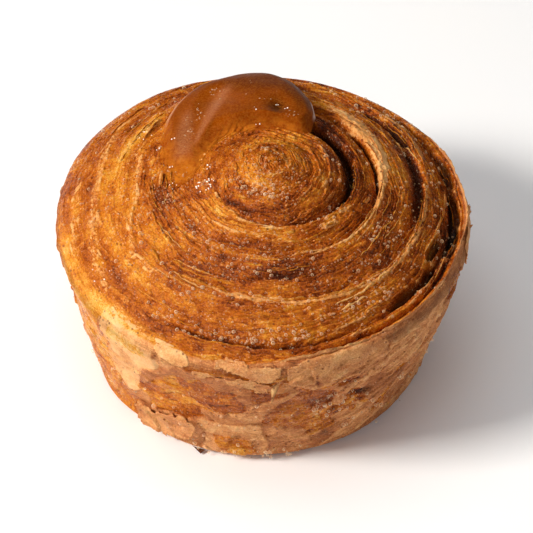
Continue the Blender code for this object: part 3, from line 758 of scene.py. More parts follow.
def turned(points, hidden):
    # The profile wrapped round Z. Points in `hidden` close the piece underneath and are left plain.
    profile = points + hidden
    if points[0][0] > 1e-6:
        profile = profile + points[:1]
    work = bmesh.new()
    rows = len(profile) - 1
    bmesh.ops.create_grid(work, x_segments=pieceLayout["steps"], y_segments=rows, size=0.5)
    for vertex in work.verts:
        a = fullTurn * (vertex.co.x + 0.5)
        radius, height = profile[round((vertex.co.y + 0.5) * rows)]
        vertex.co = (radius * math.cos(a), radius * math.sin(a), height)
    bmesh.ops.remove_doubles(work, verts=work.verts, dist=0.002 * mm)
    bmesh.ops.recalc_face_normals(work, faces=work.faces)
    return work


bakeAndShadeMarks = ("tone", "pale", "shadeAndScorch", "matte", "layer", "leafy")


def bakeAndShadeLayers(work):
    return {name: work.verts.layers.float.new(name) for name in bakeAndShadeMarks}


def stamped(vertex, layers, bakeAndShade):
    for name, value in bakeAndShade.items():
        vertex[layers[name]] = value


def finished(name, work):
    # The mesh of one piece, as an object at the origin
    mesh = bpy.data.meshes.new(name)
    work.to_mesh(mesh)
    work.free()
    mesh.shade_smooth()
    piece = bpy.data.objects.new(name, mesh)
    bpy.context.scene.collection.objects.link(piece)
    print(name, len(mesh.polygons), "faces")
    return piece


def crustPiece(name, points, hidden, plainBelow):
    work = turned(points, hidden)
    layers = bakeAndShadeLayers(work)
    for vertex in work.verts:
        if not plainBelow(vertex.co):
            vertex.co, bakeAndShade = crustPlace(vertex.co)
            stamped(vertex, layers, bakeAndShade)
    return finished(name, work)


def makeBody():
    under = pieceLayout["under"]
    inner, _ = domeEnd()
    pieces = []
    names = ("crownMiddle", "crownInner", "crownOuter")
    for name, start, end in zip(names, pieceLayout["rings"], pieceLayout["rings"][1:]):
        hidden = [(end, under), (start, under)]
        pieces.append(crustPiece(name, crownPoints(start, end, pieceLayout["ringRows"]), hidden,
                                 lambda co: co.z < under + mm))
    start = pieceLayout["rings"][-1]
    top = crownPoints(start, inner, pieceLayout["outerRows"]) + rimPoints(pieceLayout["roundRows"])[1:]
    lastRadius, lastHeight = top[-1]
    pieces.append(crustPiece("crownOuter", top, [(lastRadius - 6 * mm, lastHeight - 1 * mm), (start, under)],
                             lambda co: co.z < lastHeight - 0.01 * mm))
    wallTop = wallPoints(pieceLayout["wallRows"])
    closing = [(body["baseRadius"] * 0.6, 0.0), (0.0, 0.0)]
    pieces.append(crustPiece("wall", [(0.0, lastHeight - 2 * mm)] + wallTop + closing, [],
                             lambda co: co.z < 1e-6 or math.hypot(co.x, co.y) < 0.5 * mm))
    return pieces


def node(tree, kind, place, **settings):
    made = tree.nodes.new(kind)
    made.location = place
    for name, value in settings.items():
        setattr(made, name, value)
    return made


def ramp(tree, place, stops):
    made = node(tree, "ShaderNodeValToRGB", place)
    elements = made.color_ramp.elements
    while len(elements) < len(stops):
        elements.new(0.5)
    for element, (position, colour) in zip(elements, stops):
        element.position = position
        element.color = (*colour, 1)
    return made


bakeColours = {
    "glazed": (
        (0.0, (0.055, 0.009, 0.0010)),
        (0.20, (0.17, 0.028, 0.0020)),
        (0.38, (0.37, 0.074, 0.0040)),
        (0.55, (0.54, 0.140, 0.0080)),
        (0.70, (0.67, 0.230, 0.014)),
        (0.85, (0.79, 0.350, 0.040)),
        (1.0, (0.90, 0.540, 0.170)),
    ),
    "matte": (
        (0.0, (0.14, 0.040, 0.012)),
        (0.30, (0.38, 0.115, 0.032)),
        (0.50, (0.52, 0.178, 0.056)),
        (0.70, (0.69, 0.284, 0.096)),
        (0.85, (0.82, 0.392, 0.145)),
        (1.0, (0.92, 0.515, 0.225)),
    ),
    "torn": (
        (0.0, (0.40, 0.115, 0.020)),
        (0.5, (0.72, 0.300, 0.075)),
        (1.0, (0.95, 0.550, 0.220)),
    ),
}


def newMaterial(name):
    made = bpy.data.materials.new(name)
    made.use_nodes = True
    tree = made.node_tree
    tree.nodes.clear()
    shader = node(tree, "ShaderNodeBsdfPrincipled", (600, 0))
    output = node(tree, "ShaderNodeOutputMaterial", (900, 0))
    tree.links.new(shader.outputs[0], output.inputs["Surface"])
    return made, tree, shader


def mixColour(tree, place, factor, first, second):
    made = node(tree, "ShaderNodeMix", place, data_type="RGBA")
    settings = ((made.inputs["Factor"], factor), (made.inputs[6], first), (made.inputs[7], second))
    for socket, value in settings:
        if hasattr(value, "is_output"):
            tree.links.new(value, socket)
        elif isinstance(value, tuple):
            socket.default_value = (*value, 1)
        else:
            socket.default_value = value
    return made.outputs[2]


def maths(tree, place, operation, first, second):
    made = node(tree, "ShaderNodeMath", place, operation=operation)
    for socket, value in ((made.inputs[0], first), (made.inputs[1], second)):
        if hasattr(value, "is_output"):
            tree.links.new(value, socket)
        else:
            socket.default_value = value
    return made.outputs[0]


def newGroup(name, inputs, outputs):
    group = bpy.data.node_groups.new(name, "ShaderNodeTree")
    for title, value in inputs:
        socket = group.interface.new_socket(name=title, in_out="INPUT", socket_type="NodeSocketFloat")
        socket.default_value = value
    for title in outputs:
        group.interface.new_socket(name=title, in_out="OUTPUT", socket_type="NodeSocketFloat")
    return group, node(group, "NodeGroupInput", (-1200, 0)), node(group, "NodeGroupOutput", (700, 0))


def noiseOf(tree, place, vector, scale, detail=2.0, roughness=0.5):
    made = node(tree, "ShaderNodeTexNoise", place)
    made.inputs["Scale"].default_value = scale
    made.inputs["Detail"].default_value = detail
    made.inputs["Roughness"].default_value = roughness
    tree.links.new(vector, made.inputs["Vector"])
    return made.outputs["Fac"]


def ranged(tree, place, value, low, high, start=0.0, end=1.0):
    made = node(tree, "ShaderNodeMapRange", place)
    for title, number in (("From Min", low), ("From Max", high), ("To Min", start), ("To Max", end)):
        made.inputs[title].default_value = number
    tree.links.new(value, made.inputs["Value"])
    return made.outputs["Result"]


def bakeDetailAndGlintsGroup():
    # Mottle, dark specks, painted glints, frayed edges and fibres that run round the piece, shared by every
    # dough surface
    group, source, result = newGroup(
        "bakeDetailAndGlints", (("Mottle Size", 900), ("Speck Amount", 0.5)),
        ("Mottle", "Specks", "Painted Glints", "Blister", "Grit", "Fray", "Fibre", "Height"))
    links = group.links
    place = node(group, "ShaderNodeTexCoord", (-1400, -250)).outputs["Object"]
    mottle = node(group, "ShaderNodeTexNoise", (-600, 200))
    mottle.inputs["Detail"].default_value = 4
    mottle.inputs["Roughness"].default_value = 0.6
    links.new(place, mottle.inputs["Vector"])
    links.new(source.outputs["Mottle Size"], mottle.inputs["Scale"])
    speck = node(group, "ShaderNodeTexVoronoi", (-600, -100))
    speck.inputs["Scale"].default_value = 760
    links.new(place, speck.inputs["Vector"])
    near = ranged(group, (-350, -100), speck.outputs["Distance"], 0.26, 0.12)
    few = ranged(group, (-350, -400), noiseOf(group, (-600, -400), place, 300), 0.46, 0.53)
    # painted glints: small pale spots that stand in for highlights
    glint = node(group, "ShaderNodeTexVoronoi", (-600, -1100))
    glint.inputs["Scale"].default_value = 1500
    links.new(place, glint.inputs["Vector"])
    close = ranged(group, (-350, -1100), glint.outputs["Distance"], 0.30, 0.12)
    some = ranged(group, (-350, -1300), noiseOf(group, (-600, -1300), place, 450), 0.46, 0.62)
    glints = maths(group, (-100, -1100), "MULTIPLY", close, some)
    both = maths(group, (-100, -200), "MULTIPLY", near, few)
    amount = maths(group, (100, -200), "MULTIPLY", both, source.outputs["Speck Amount"])
    fray = noiseOf(group, (-600, 450), place, 1150, 5, 0.72)
    blister = noiseOf(group, (-600, -650), place, 330, 3, 0.55)
    grit = noiseOf(group, (-600, -850), place, 2700, 3, 0.75)
    # fibres: noise stretched along the circles about the spiral's middle
    middle = node(group, "ShaderNodeVectorMath", (-1200, 700), operation="SUBTRACT")
    middle.inputs[1].default_value = (body["middleX"], body["middleY"], 0)
    links.new(place, middle.inputs[0])
    flat = node(group, "ShaderNodeVectorMath", (-1000, 900), operation="MULTIPLY")
    flat.inputs[1].default_value = (1, 1, 0)
    links.new(middle.outputs[0], flat.inputs[0])
    radius = node(group, "ShaderNodeVectorMath", (-800, 900), operation="LENGTH")
    links.new(flat.outputs[0], radius.inputs[0])
    split = node(group, "ShaderNodeSeparateXYZ", (-1000, 700))
    links.new(middle.outputs[0], split.inputs[0])
    across = maths(group, (-600, 900), "SUBTRACT", radius.outputs["Value"], split.outputs["Z"])
    sway = maths(group, (-600, 1100), "MULTIPLY", noiseOf(group, (-800, 1100), place, 120), 0.005)
    across = maths(group, (-400, 1000), "ADD", across, sway)
    across = maths(group, (-250, 1000), "MULTIPLY", across, 9.0)
    stretched = node(group, "ShaderNodeCombineXYZ", (-100, 900))
    for title, value in (("X", split.outputs["X"]), ("Y", split.outputs["Y"]), ("Z", across)):
        links.new(value, stretched.inputs[title])
    fibre = noiseOf(group, (100, 900), stretched.outputs[0], 240, 4, 0.6)
    fineHeight = maths(group, (100, 350), "MULTIPLY_ADD", grit, 0.6)
    links.new(mottle.outputs["Fac"], fineHeight.node.inputs[2])
    height = maths(group, (250, 350), "MULTIPLY_ADD", fibre, 0.5)
    links.new(fineHeight, height.node.inputs[2])
    for title, value in (("Mottle", mottle.outputs["Fac"]), ("Specks", amount), ("Painted Glints", glints),
                         ("Blister", blister), ("Grit", grit),
                         ("Fray", fray), ("Fibre", fibre), ("Height", height)):
        links.new(value, result.inputs[title])
    return group


def leafEdgeGroup():
    # A smooth count of leaves cut into single ones: own tone, lip with painted highlight, crack with painted
    # shade
    group, source, result = newGroup("leafEdges", (("Layer", 0), ("Fray", 0)),
                                          ("Shade", "Lip", "Crack Shade", "Height"))
    links = group.links
    place = node(group, "ShaderNodeTexCoord", (-1200, -250)).outputs["Object"]
    count = maths(group, (-1000, 0), "ADD", source.outputs["Layer"], source.outputs["Fray"])
    leaf = maths(group, (-800, 100), "FLOOR", count, 0)
    part = maths(group, (-800, -100), "FRACT", count, 0)
    apart = node(group, "ShaderNodeCombineXYZ", (-600, 200))
    links.new(maths(group, (-700, 250), "MULTIPLY", leaf, 0.0317), apart.inputs["Z"])
    moved = node(group, "ShaderNodeVectorMath", (-450, 100), operation="ADD")
    links.new(place, moved.inputs[0])
    links.new(apart.outputs[0], moved.inputs[1])
    shade = maths(group, (-100, 300), "SUBTRACT", noiseOf(group, (-300, 300), moved.outputs[0], 170, 2), 0.5)
    opened = ranged(group, (-100, 0), noiseOf(group, (-300, 0), moved.outputs[0], 210, 2), 0.42, 0.60)
    # painted shade in the crack before the next leaf, and a painted highlight on the lip
    crackShade = maths(group, (200, -100), "MULTIPLY", ranged(group, (0, -150), part, 0.80, 0.98), opened)
    lip = maths(group, (200, 100), "MULTIPLY", ranged(group, (0, 100), part, 0.26, 0.06), opened)
    saw = maths(group, (200, -350), "MULTIPLY", maths(group, (0, -350), "SUBTRACT", 1.0, part), opened)
    for title, value in (("Shade", shade), ("Lip", lip), ("Crack Shade", crackShade), ("Height", saw)):
        links.new(value, result.inputs[title])
    return group


detailGroup = bakeDetailAndGlintsGroup()
edgeGroup = leafEdgeGroup()

crustLook = {
    "mottleSize": 700.0,
    "mottleShift": 0.55,
    "gritShift": 1.0,
    "paintedGlintColour": (1.0, 0.70, 0.42),
    "paintedGlintShare": 0.42,
    "fray": 0.5,
    "frayShift": 0.35,
    "fibreShift": 0.30,
    "leafShift": 0.60,
    "strandShift": 0.45,
    # the crack shifts paint shade into the cracks between leaves; the lip shift paints a highlight on their
    # edges
    "crackShadeShift": -0.26,
    "lipShift": 0.20,
    "speckAmount": 0.8,
    "speckColour": (0.17, 0.026, 0.003),
    "shadeAndScorchColour": (0.020, 0.006, 0.0012),
    "bumpStrength": 0.8,
    "bumpDistance": 0.00040,
    "glazedRoughness": 0.26,
    "matteRoughness": 0.60,
    "gloss": 0.14,
    "scatter": 0.10,
    "scatterColour": (1.0, 0.35, 0.1),
    "scatterDepth": 0.0010,
}


def makeCrustMaterial():
    made, tree, shader = newMaterial("bakedCrust")
    links = tree.links
    detail = node(tree, "ShaderNodeGroup", (-1500, -300), node_tree=detailGroup)
    detail.inputs["Mottle Size"].default_value = crustLook["mottleSize"]
    detail.inputs["Speck Amount"].default_value = crustLook["speckAmount"]
    values = {}
    for row, name in enumerate(bakeAndShadeMarks):
        mark = node(tree, "ShaderNodeAttribute", (-1500, 600 - 160 * row), attribute_name=name)
        values[name] = mark.outputs["Fac"]
    mottle = maths(tree, (-1300, -300), "SUBTRACT", detail.outputs["Mottle"], 0.5)
    fray = maths(tree, (-1300, -450), "SUBTRACT", detail.outputs["Fray"], 0.5)
    fibre = maths(tree, (-1300, -600), "SUBTRACT", detail.outputs["Fibre"], 0.5)
    place = node(tree, "ShaderNodeTexCoord", (-1700, -900)).outputs["Object"]
    broken = ranged(tree, (-1500, -900), noiseOf(tree, (-1600, -900), place, 150, 3), 0.40, 0.60, 0.25, 1.0)
    leafy = maths(tree, (-1350, -900), "MULTIPLY", values["leafy"], broken)
    leafFibre = maths(tree, (-1150, -600), "MULTIPLY", fibre, leafy)
    edges = node(tree, "ShaderNodeGroup", (-1100, -100), node_tree=edgeGroup)
    links.new(values["layer"], edges.inputs["Layer"])
    links.new(maths(tree, (-1200, -200), "MULTIPLY", fray, crustLook["fray"]), edges.inputs["Fray"])
    # finer strands within the leaves
    strands = node(tree, "ShaderNodeGroup", (-1100, -350), node_tree=edgeGroup)
    links.new(maths(tree, (-1200, -350), "MULTIPLY", values["layer"], 2.3), strands.inputs["Layer"])
    links.new(maths(tree, (-1200, -450), "MULTIPLY", fray, 1.4), strands.inputs["Fray"])
    grit = maths(tree, (-1300, -750), "SUBTRACT", detail.outputs["Grit"], 0.5)
    blister = maths(tree, (-1300, -900), "SUBTRACT", detail.outputs["Blister"], 0.5)

    def summed(place, start, *terms):
        total = start
        for step, (value, weight) in enumerate(terms):
            part = maths(tree, (place[0] + 150 * step, place[1]), "MULTIPLY_ADD", value, weight)
            links.new(total, part.node.inputs[2])
            total = part
        return total

    # cracks darkened with painted shade, lips lightened partly with a painted highlight
    crackShade = maths(tree, (-900, -250), "MULTIPLY", edges.outputs["Crack Shade"], leafy)
    lip = maths(tree, (-900, -400), "MULTIPLY", edges.outputs["Lip"], leafy)
    shade = maths(tree, (-900, -100), "MULTIPLY", edges.outputs["Shade"], leafy)
    strandShade = maths(tree, (-900, -550), "MULTIPLY", strands.outputs["Shade"], leafy)
    strandCrackShade = maths(tree, (-900, -700), "MULTIPLY", strands.outputs["Crack Shade"], leafy)
    calm = ranged(tree, (-1150, 700), values["leafy"], 0.0, 0.6, 0.5, 1.0)
    cloudy = maths(tree, (-1000, 700), "MULTIPLY", summed((-1300, 800), mottle, (blister, 1.0)), calm)
    tone = summed((-700, 500), values["tone"], (cloudy, crustLook["mottleShift"]),
                  (fray, crustLook["frayShift"]), (leafFibre, crustLook["fibreShift"]),
                  (shade, crustLook["leafShift"]),
                  (strandShade, crustLook["strandShift"]), (crackShade, crustLook["crackShadeShift"]),
                  (strandCrackShade, 0.6 * crustLook["crackShadeShift"]), (lip, crustLook["lipShift"]),
                  (grit, crustLook["gritShift"]))
    baring = summed((-700, 250), values["pale"], (fray, 0.9), (fibre, 1.1), (lip, 0.25), (grit, 0.5))
    bareness = ranged(tree, (0, 250), baring, 0.38, 0.62)
    matting = summed((-700, 0), values["matte"], (fray, 0.6), (mottle, 0.5))
    matteness = ranged(tree, (0, 0), matting, 0.38, 0.62)
    glazed = ramp(tree, (200, 600), bakeColours["glazed"])
    matte = ramp(tree, (200, 350), bakeColours["matte"])
    torn = ramp(tree, (200, 100), bakeColours["torn"])
    for part in (glazed, matte, torn):
        links.new(tone, part.inputs["Fac"])
    skin = mixColour(tree, (500, 400), matteness, glazed.outputs["Color"], matte.outputs["Color"])
    bare = mixColour(tree, (650, 300), bareness, skin, torn.outputs["Color"])
    specked = mixColour(tree, (800, 200), detail.outputs["Specks"], bare, crustLook["speckColour"])
    # painted glints mixed into the colour
    glinted = maths(tree, (800, 50), "MULTIPLY", detail.outputs["Painted Glints"], crustLook["paintedGlintShare"])
    specked = mixColour(tree, (900, 200), glinted, specked, crustLook["paintedGlintColour"])
    # painted shade in the hollows, and the scorch of the burnt scrap, mixed towards near-black
    shadeAndScorch = summed((-100, -300), values["shadeAndScorch"], (mottle, 0.5))
    deep = mixColour(tree, (950, 100), shadeAndScorch, specked, crustLook["shadeAndScorchColour"])
    links.new(deep, shader.inputs["Base Color"])
    dull = maths(tree, (300, -200), "MAXIMUM", matteness, bareness)
    rough = ranged(tree, (450, -200), dull, 0.0, 1.0,
                   crustLook["glazedRoughness"], crustLook["matteRoughness"])
    links.new(summed((600, -200), rough, (mottle, 0.35)), shader.inputs["Roughness"])
    height = summed((300, -500), detail.outputs["Height"], (edges.outputs["Height"], 0.6),
                    (strands.outputs["Height"], 0.4))
    rise = node(tree, "ShaderNodeBump", (900, -550))
    rise.inputs["Strength"].default_value = crustLook["bumpStrength"]
    rise.inputs["Distance"].default_value = crustLook["bumpDistance"]
    links.new(height, rise.inputs["Height"])
    links.new(rise.outputs["Normal"], shader.inputs["Normal"])
    shader.location = (1200, 0)
    shader.inputs["Specular IOR Level"].default_value = crustLook["gloss"]
    shader.inputs["Subsurface Weight"].default_value = crustLook["scatter"]
    shader.inputs["Subsurface Radius"].default_value = crustLook["scatterColour"]
    shader.inputs["Subsurface Scale"].default_value = crustLook["scatterDepth"]
    return made


crustMaterial = makeCrustMaterial()
print("materials ready")


def dressed(piece, material):
    piece.data.materials.append(material)
    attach(piece, "root")
    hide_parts("pastry")


for piece in makeBody():
    dressed(piece, crustMaterial)


def crownSpot(degrees, radius):
    # The plain dome's point at an angle and radius about the spiral's middle
    a = math.radians(degrees)
    x, y = radius * math.cos(a), radius * math.sin(a)
    for _ in range(3):
        pull = 1 - min(1.0, (x * x + y * y) / body["rimRadius"] ** 2)
        x = radius * math.cos(a) + body["middleX"] * pull
        y = radius * math.sin(a) + body["middleY"] * pull
    return Vector((x, y, plainDome(math.hypot(x, y))))


def wallSpot(degrees, height):
    # Height counts along the skin once it turns over the rounded rim
    a = math.radians(degrees)
    topRadius, topHeight = rimPoints(4)[-1]
    radius = body["baseRadius"] + (topRadius - body["baseRadius"]) * height / topHeight
    if height > topHeight:
        lean = math.atan2(body["rimRadius"] - body["baseRadius"], body["rimHeight"])
        turn = (height - topHeight) / body["rimRound"] - lean
        last = math.pi / 2 - domeEnd()[1]
        over = min(turn, last)
        radius = topRadius - body["rimRound"] * (math.cos(lean) - math.cos(over))
        height = topHeight + body["rimRound"] * (math.sin(lean) + math.sin(over))
        if turn > last:
            radius -= (turn - last) * body["rimRound"] * math.cos(domeEnd()[1])
            height = plainDome(radius)
    return Vector((radius * math.cos(a), radius * math.sin(a), height))


def outward(degrees):
    return Vector((math.cos(math.radians(degrees)), math.sin(math.radians(degrees)), 0))


up = Vector((0, 0, 1))


def ragged(place, size, seed):
    # Uneven value about zero, with a finer one on it, for torn edges
    first = noise.noise(Vector((place / size, seed * 1.7, 0.3)))
    return first + 0.6 * noise.noise(Vector((3.1 * place / size, seed * 2.3, 5.1)))


def addStrip(work, steps, column, thick):
    # A thin leaf standing on edge: `column(u)` gives its foot, its edge, the way its face looks and its bake
    part = bmesh.new()
    bmesh.ops.create_grid(part, x_segments=steps, y_segments=4, size=0.5)
    layers = bakeAndShadeLayers(part)
    known = {}
    for vertex in part.verts:
        u, v = vertex.co.x + 0.5, vertex.co.y + 0.5
        key = round(u * 10000)
        if key not in known:
            known[key] = column(min(1.0, max(0.0, u)))
        foot, edge, face, bakeAndShade = known[key]
        rise = 1 - abs(2 * v - 1)
        tapered = math.sin(math.pi * min(1.0, max(0.0, u))) ** 0.3 if 0 < u < 1 else 0.0
        side = thick * 0.5 * (1 if v < 0.5 else -1) * (0 if rise > 0.99 or rise < 0.01 else 1)
        vertex.co = foot.lerp(edge, rise) + face * side * tapered
        lit = dict(bakeAndShade)
        lit["pale"] = bakeAndShade["pale"] * (0.4 + 0.6 * rise)
        stamped(vertex, layers, lit)
    bmesh.ops.remove_doubles(part, verts=part.verts, dist=0.000002)
    bmesh.ops.recalc_face_normals(part, faces=part.faces)
    addPart(work, part)


def addPart(work, part):
    passed = bpy.data.meshes.new("passed")
    part.to_mesh(passed)
    part.free()
    work.from_mesh(passed)
    bpy.data.meshes.remove(passed)


def readyBmesh():
    work = bmesh.new()
    bakeAndShadeLayers(work)
    return work


# Free leaf edges that stand up from the coils
leafEdges = {
    "seed": 11,
    "count": 260,
    "thick": 0.16 * mm,
    "sunk": 0.35 * mm,
    "stepLength": 0.32 * mm,
    "outermost": 42 * mm,
    "length": (4, 17),  # mm
    "rise": (0.15, 0.50),  # mm
    "drift": (-0.8, 0.8),  # mm, outwards along its length
    "lean": (-0.2, 0.9),
    "markLength": 26,  # degrees, on the pale marks
    "markRise": (0.35, 0.7),
    "markLean": (0.1, 0.8),
    "palest": 0.5,  # marks less pale than this have none
}


def leafStrip(work, start, length, radius, drift, rise, lean, tone, pale, seed):
    # One leaf edge from an angle along the coil; lengths in degrees and metres
    steps = max(8, int(math.radians(length) * radius / leafEdges["stepLength"]))

    def column(u):
        degrees = start + length * u
        at = radius + drift * u + 0.5 * mm * ragged(u * length, 14, seed)
        foot = crustPlace(crownSpot(degrees, at))[0]
        inward = -outward(degrees)
        taper = min(1.0, 7 * u, 7 * (1 - u))
        along = math.radians(u * length) * radius / mm
        high = rise * taper * max(0.15, 0.85 + 0.9 * ragged(along, 3.2, seed + 5))
        edge = foot + up * high + inward * high * lean
        bakeAndShade = {"tone": tone + 0.12 * ragged(u * length, 5, seed), "pale": pale, "matte": 0.1}
        foot = foot - up * leafEdges["sunk"]
        if taper == 0.0:
            edge = foot
        return foot, edge, inward, bakeAndShade

    addStrip(work, steps, column, leafEdges["thick"])


def addFreeLeaves(work, chance):
    # Edges anywhere but on the golden side, the soaked flank and under the caramel
    for number in range(leafEdges["count"] // coarse):
        start = chance.uniform(0, 360)
        radius = math.sqrt(chance.uniform(0.05, 1.0)) * leafEdges["outermost"]
        golden = angleBump(start, 175, 50) * smoothStep(24 * mm, 29 * mm, radius)
        onCaramel = angleBump(start, 100, 48) * bump(radius, 21 * mm, 13 * mm)
        filled = angleBump(start, 165, 50) * bump(radius, 13 * mm, 6 * mm)
        if chance.random() < 1.5 * max(golden, filled) or chance.random() < 1.6 * onCaramel:
            continue
        length = math.degrees(chance.uniform(*leafEdges["length"]) * mm / max(radius, 6 * mm))
        rise = chance.uniform(*leafEdges["rise"]) * mm
        bright = chance.random() ** 1.5
        drift = chance.uniform(*leafEdges["drift"]) * mm
        lean = chance.uniform(*leafEdges["lean"])
        leafStrip(work, start, length, radius, drift, rise, lean,
                  0.40 + 0.40 * bright, 0.65 * bright * bright, number)


def addMarkLeaves(work, chance):
    # Edges along the palest marks
    for number, (points, widths, _, pale, _) in enumerate(marks):
        if pale < leafEdges["palest"]:
            continue
        first, last = points[0][0], points[-1][0]
        pieces = max(1, int((last - first) / leafEdges["markLength"]))
        for piece in range(pieces):
            start = first + (last - first) * (piece + chance.uniform(-0.1, 0.2)) / pieces
            length = (last - first) / pieces * chance.uniform(0.7, 1.0)
            found = spread(points, widths, min(max(start, first), last))
            after = spread(points, widths, min(max(start + length, first), last))
            radius, wide = found[0] * mm, found[1] * mm
            across = wide * chance.uniform(-0.9, 0.4)
            rise = chance.uniform(*leafEdges["markRise"]) * mm
            lean = chance.uniform(*leafEdges["markLean"])
            leafStrip(work, start, length, radius + across, after[0] * mm - radius, rise, lean,
                      0.62, 0.5 * pale, 500 + 31 * number + piece)


def makeLeafEdges():
    chance = random.Random(leafEdges["seed"])
    work = readyBmesh()
    addFreeLeaves(work, chance)
    addMarkLeaves(work, chance)
    return finished("leafEdges", work)


# The torn top edge of the outer wrap, from the front round the right-hand side
collar = {
    "start": 272.0,
    "length": 124.0,
    "steps": 360,
    "radius": 43.1 * mm,
    "sway": 0.5 * mm,
    "high": 1.0,  # mm
    "thick": 0.30 * mm,
    "sunk": 0.9 * mm,
}


def makeCollarEdge():
    work = readyBmesh()

    def column(u):
        degrees = collar["start"] + collar["length"] * u
        radius = collar["radius"] + collar["sway"] * ragged(degrees, 12, 3)
        radius += 0.5 * mm * smoothStep(300, 350, degrees)
        foot = crustPlace(crownSpot(degrees, radius))[0]
        taper = min(1.0, 14 * u, 9 * (1 - u))
        high = (collar["high"] + 0.7 * ragged(degrees, 4.5, 1) + 0.5 * angleBump(degrees, 355, 9)) * mm
        high = max(0.15 * mm, high) * taper
        over = (0.15 * mm + 0.5 * mm * angleBump(degrees, 354, 7)) * taper
        edge = foot + up * high + outward(degrees) * over
        bakeAndShade = {
            "tone": 0.62 + 0.2 * ragged(degrees, 9, 8),
            "pale": 0.35 + 0.3 * ragged(degrees, 6, 2),
            "matte": 1.0,
        }
        foot = foot - up * collar["sunk"]
        if taper <= 0.0:
            edge = foot
        return foot, edge, outward(degrees), bakeAndShade

    addStrip(work, collar["steps"] // coarse, column, collar["thick"])
    return finished("collarEdge", work)


# Skins that have peeled off the wall: outline (angle, height mm), stand-off and curl mm, tone, pale, matte
peeled = (
    (((239.5, 39.6), (244, 39.9), (248, 39.2), (251, 37.6), (250.5, 36), (247.5, 34.8), (244.5, 35.2),
      (241.5, 36.2),
      (240, 38)), 0.1, 0.12, 0.86, 1.0),
    (((257, 38.6), (260, 39.7), (265, 39.4), (267, 37.8), (271, 37.5), (276, 37.3), (275.6, 35.4),
      (272.5, 33.2),
      (268, 33.4), (264.5, 35.6), (260, 36.4), (257.3, 37)), 0.12, 0.2, 0.71, 1.0),
    (((256, 34.3), (262, 34.4), (268, 34), (274, 31.6), (272.5, 29.5), (270, 28.6), (267.5, 30.2),
      (262, 31.8), (258, 33)),
     0.1, 0.15, 0.68, 1.0),
    (((251, 35), (257, 35.4), (257, 33.6), (252.6, 32.6), (250.6, 33.6)), 0.1, 0.12, 0.70, 1.0),
    (((226.4, 9.4), (232, 9.8), (238, 12.2), (245, 14), (249, 13.6), (250, 10), (246, 5), (236, 2.2),
      (227, 1)), 0.15, 0.3,
     0.66, 1.0),
    (((276.4, 36.6), (282, 38.4), (292, 39), (302, 38.8), (306, 36), (302, 31), (295, 31.8), (289, 30),
      (284, 31), (279, 32),
      (276.6, 34)), 0.12, 0.2, 0.66, 1.0),
    (((346, 37), (356, 38), (364, 37), (365, 33), (359, 29), (352, 30), (347, 32)), 0.15, 0.7, 0.72, 1.0),
    (((24, 32), (36, 35), (50, 33), (56, 27), (44, 23), (30, 24)), 0.3, 0.3, 0.68, 1.0),
    (((84, 26), (100, 30), (114, 25), (106, 17), (90, 16)), 0.3, 0.3, 0.64, 0.9),
    (((150, 22), (162, 27), (172, 20), (166, 11), (154, 12)), 0.3, 0.4, 0.68, 0.3),
)
peel = {
    "cell": 0.30 * mm,
    "thick": 0.14 * mm,
    "curlWidth": 0.8,  # mm in from the edge
    "lipWidth": 0.3,
}


def skinSheet(number, box, sides):
    # A flat sheet in mm round the wall and up it, cut to its outline with a frayed edge
    wide, tall = box[1] - box[0], box[3] - box[2]
    part = bmesh.new()
    cell = peel["cell"] * coarse / mm
    bmesh.ops.create_grid(part, x_segments=int(wide / cell), y_segments=int(tall / cell), size=0.5)
    depths = part.verts.layers.float.new("depth")
    for vertex in part.verts:
        x = box[0] + wide * (vertex.co.x + 0.5)
        y = box[2] + tall * (vertex.co.y + 0.5)
        spot = Vector((x, y, number * 9))
        uneven = 0.55 * noise.noise(spot / 2.6) + 0.35 * noise.noise(spot / 1.1)
        uneven += 0.2 * noise.noise(spot / 0.5)
        vertex.co = (x, y, 0)
        vertex[depths] = depthInside(sides, x, y) + uneven
    gone = [face for face in part.faces if min(vertex[depths] for vertex in face.verts) < 0]
    bmesh.ops.delete(part, geom=gone, context="FACES")
    rim = [vertex for vertex in part.verts if vertex.is_boundary]
    bmesh.ops.smooth_vert(part, verts=rim, factor=0.5, use_axis_x=True, use_axis_y=True)
    return part


def addSkin(work, number, points, off, curl, tone, matte):
    part = skinSheet(number, *outlineSides(points))
    layers = bakeAndShadeLayers(part)
    depths = part.verts.layers.float["depth"]
    for vertex in part.verts:
        degrees = vertex.co.x / arcScale
        height = vertex.co.y * mm
        inside = max(0.0, vertex[depths])
        spot = crustPlace(wallSpot(degrees, height))[0]
        lifted = (off + curl * math.exp(-inside / peel["curlWidth"])) * mm
        vertex.co = spot + outward(degrees) * lifted * (0.8 + 0.6 * noise.noise(spot / (3 * mm)))
        lip = math.exp(-inside / peel["lipWidth"])
        bakeAndShade = {
            "tone": tone + 0.2 * noise.noise(spot / (3.5 * mm)) + 0.05 * lip,
            "pale": 0.2 * lip,
            "matte": matte,
            "layer": 0.3,
            "leafy": 0.25,
        }
        stamped(vertex, layers, bakeAndShade)
    part.verts.layers.float.remove(part.verts.layers.float["depth"])
    bmesh.ops.recalc_face_normals(part, faces=part.faces)
    bmesh.ops.solidify(part, geom=part.faces[:], thickness=peel["thick"])
    bmesh.ops.recalc_face_normals(part, faces=part.faces)
    addPart(work, part)


def makeSkins():
    work = readyBmesh()
    for number, (points, off, curl, tone, matte) in enumerate(peeled):
        addSkin(work, number, points, off, curl, tone, matte)
    return finished("peeledSkins", work)


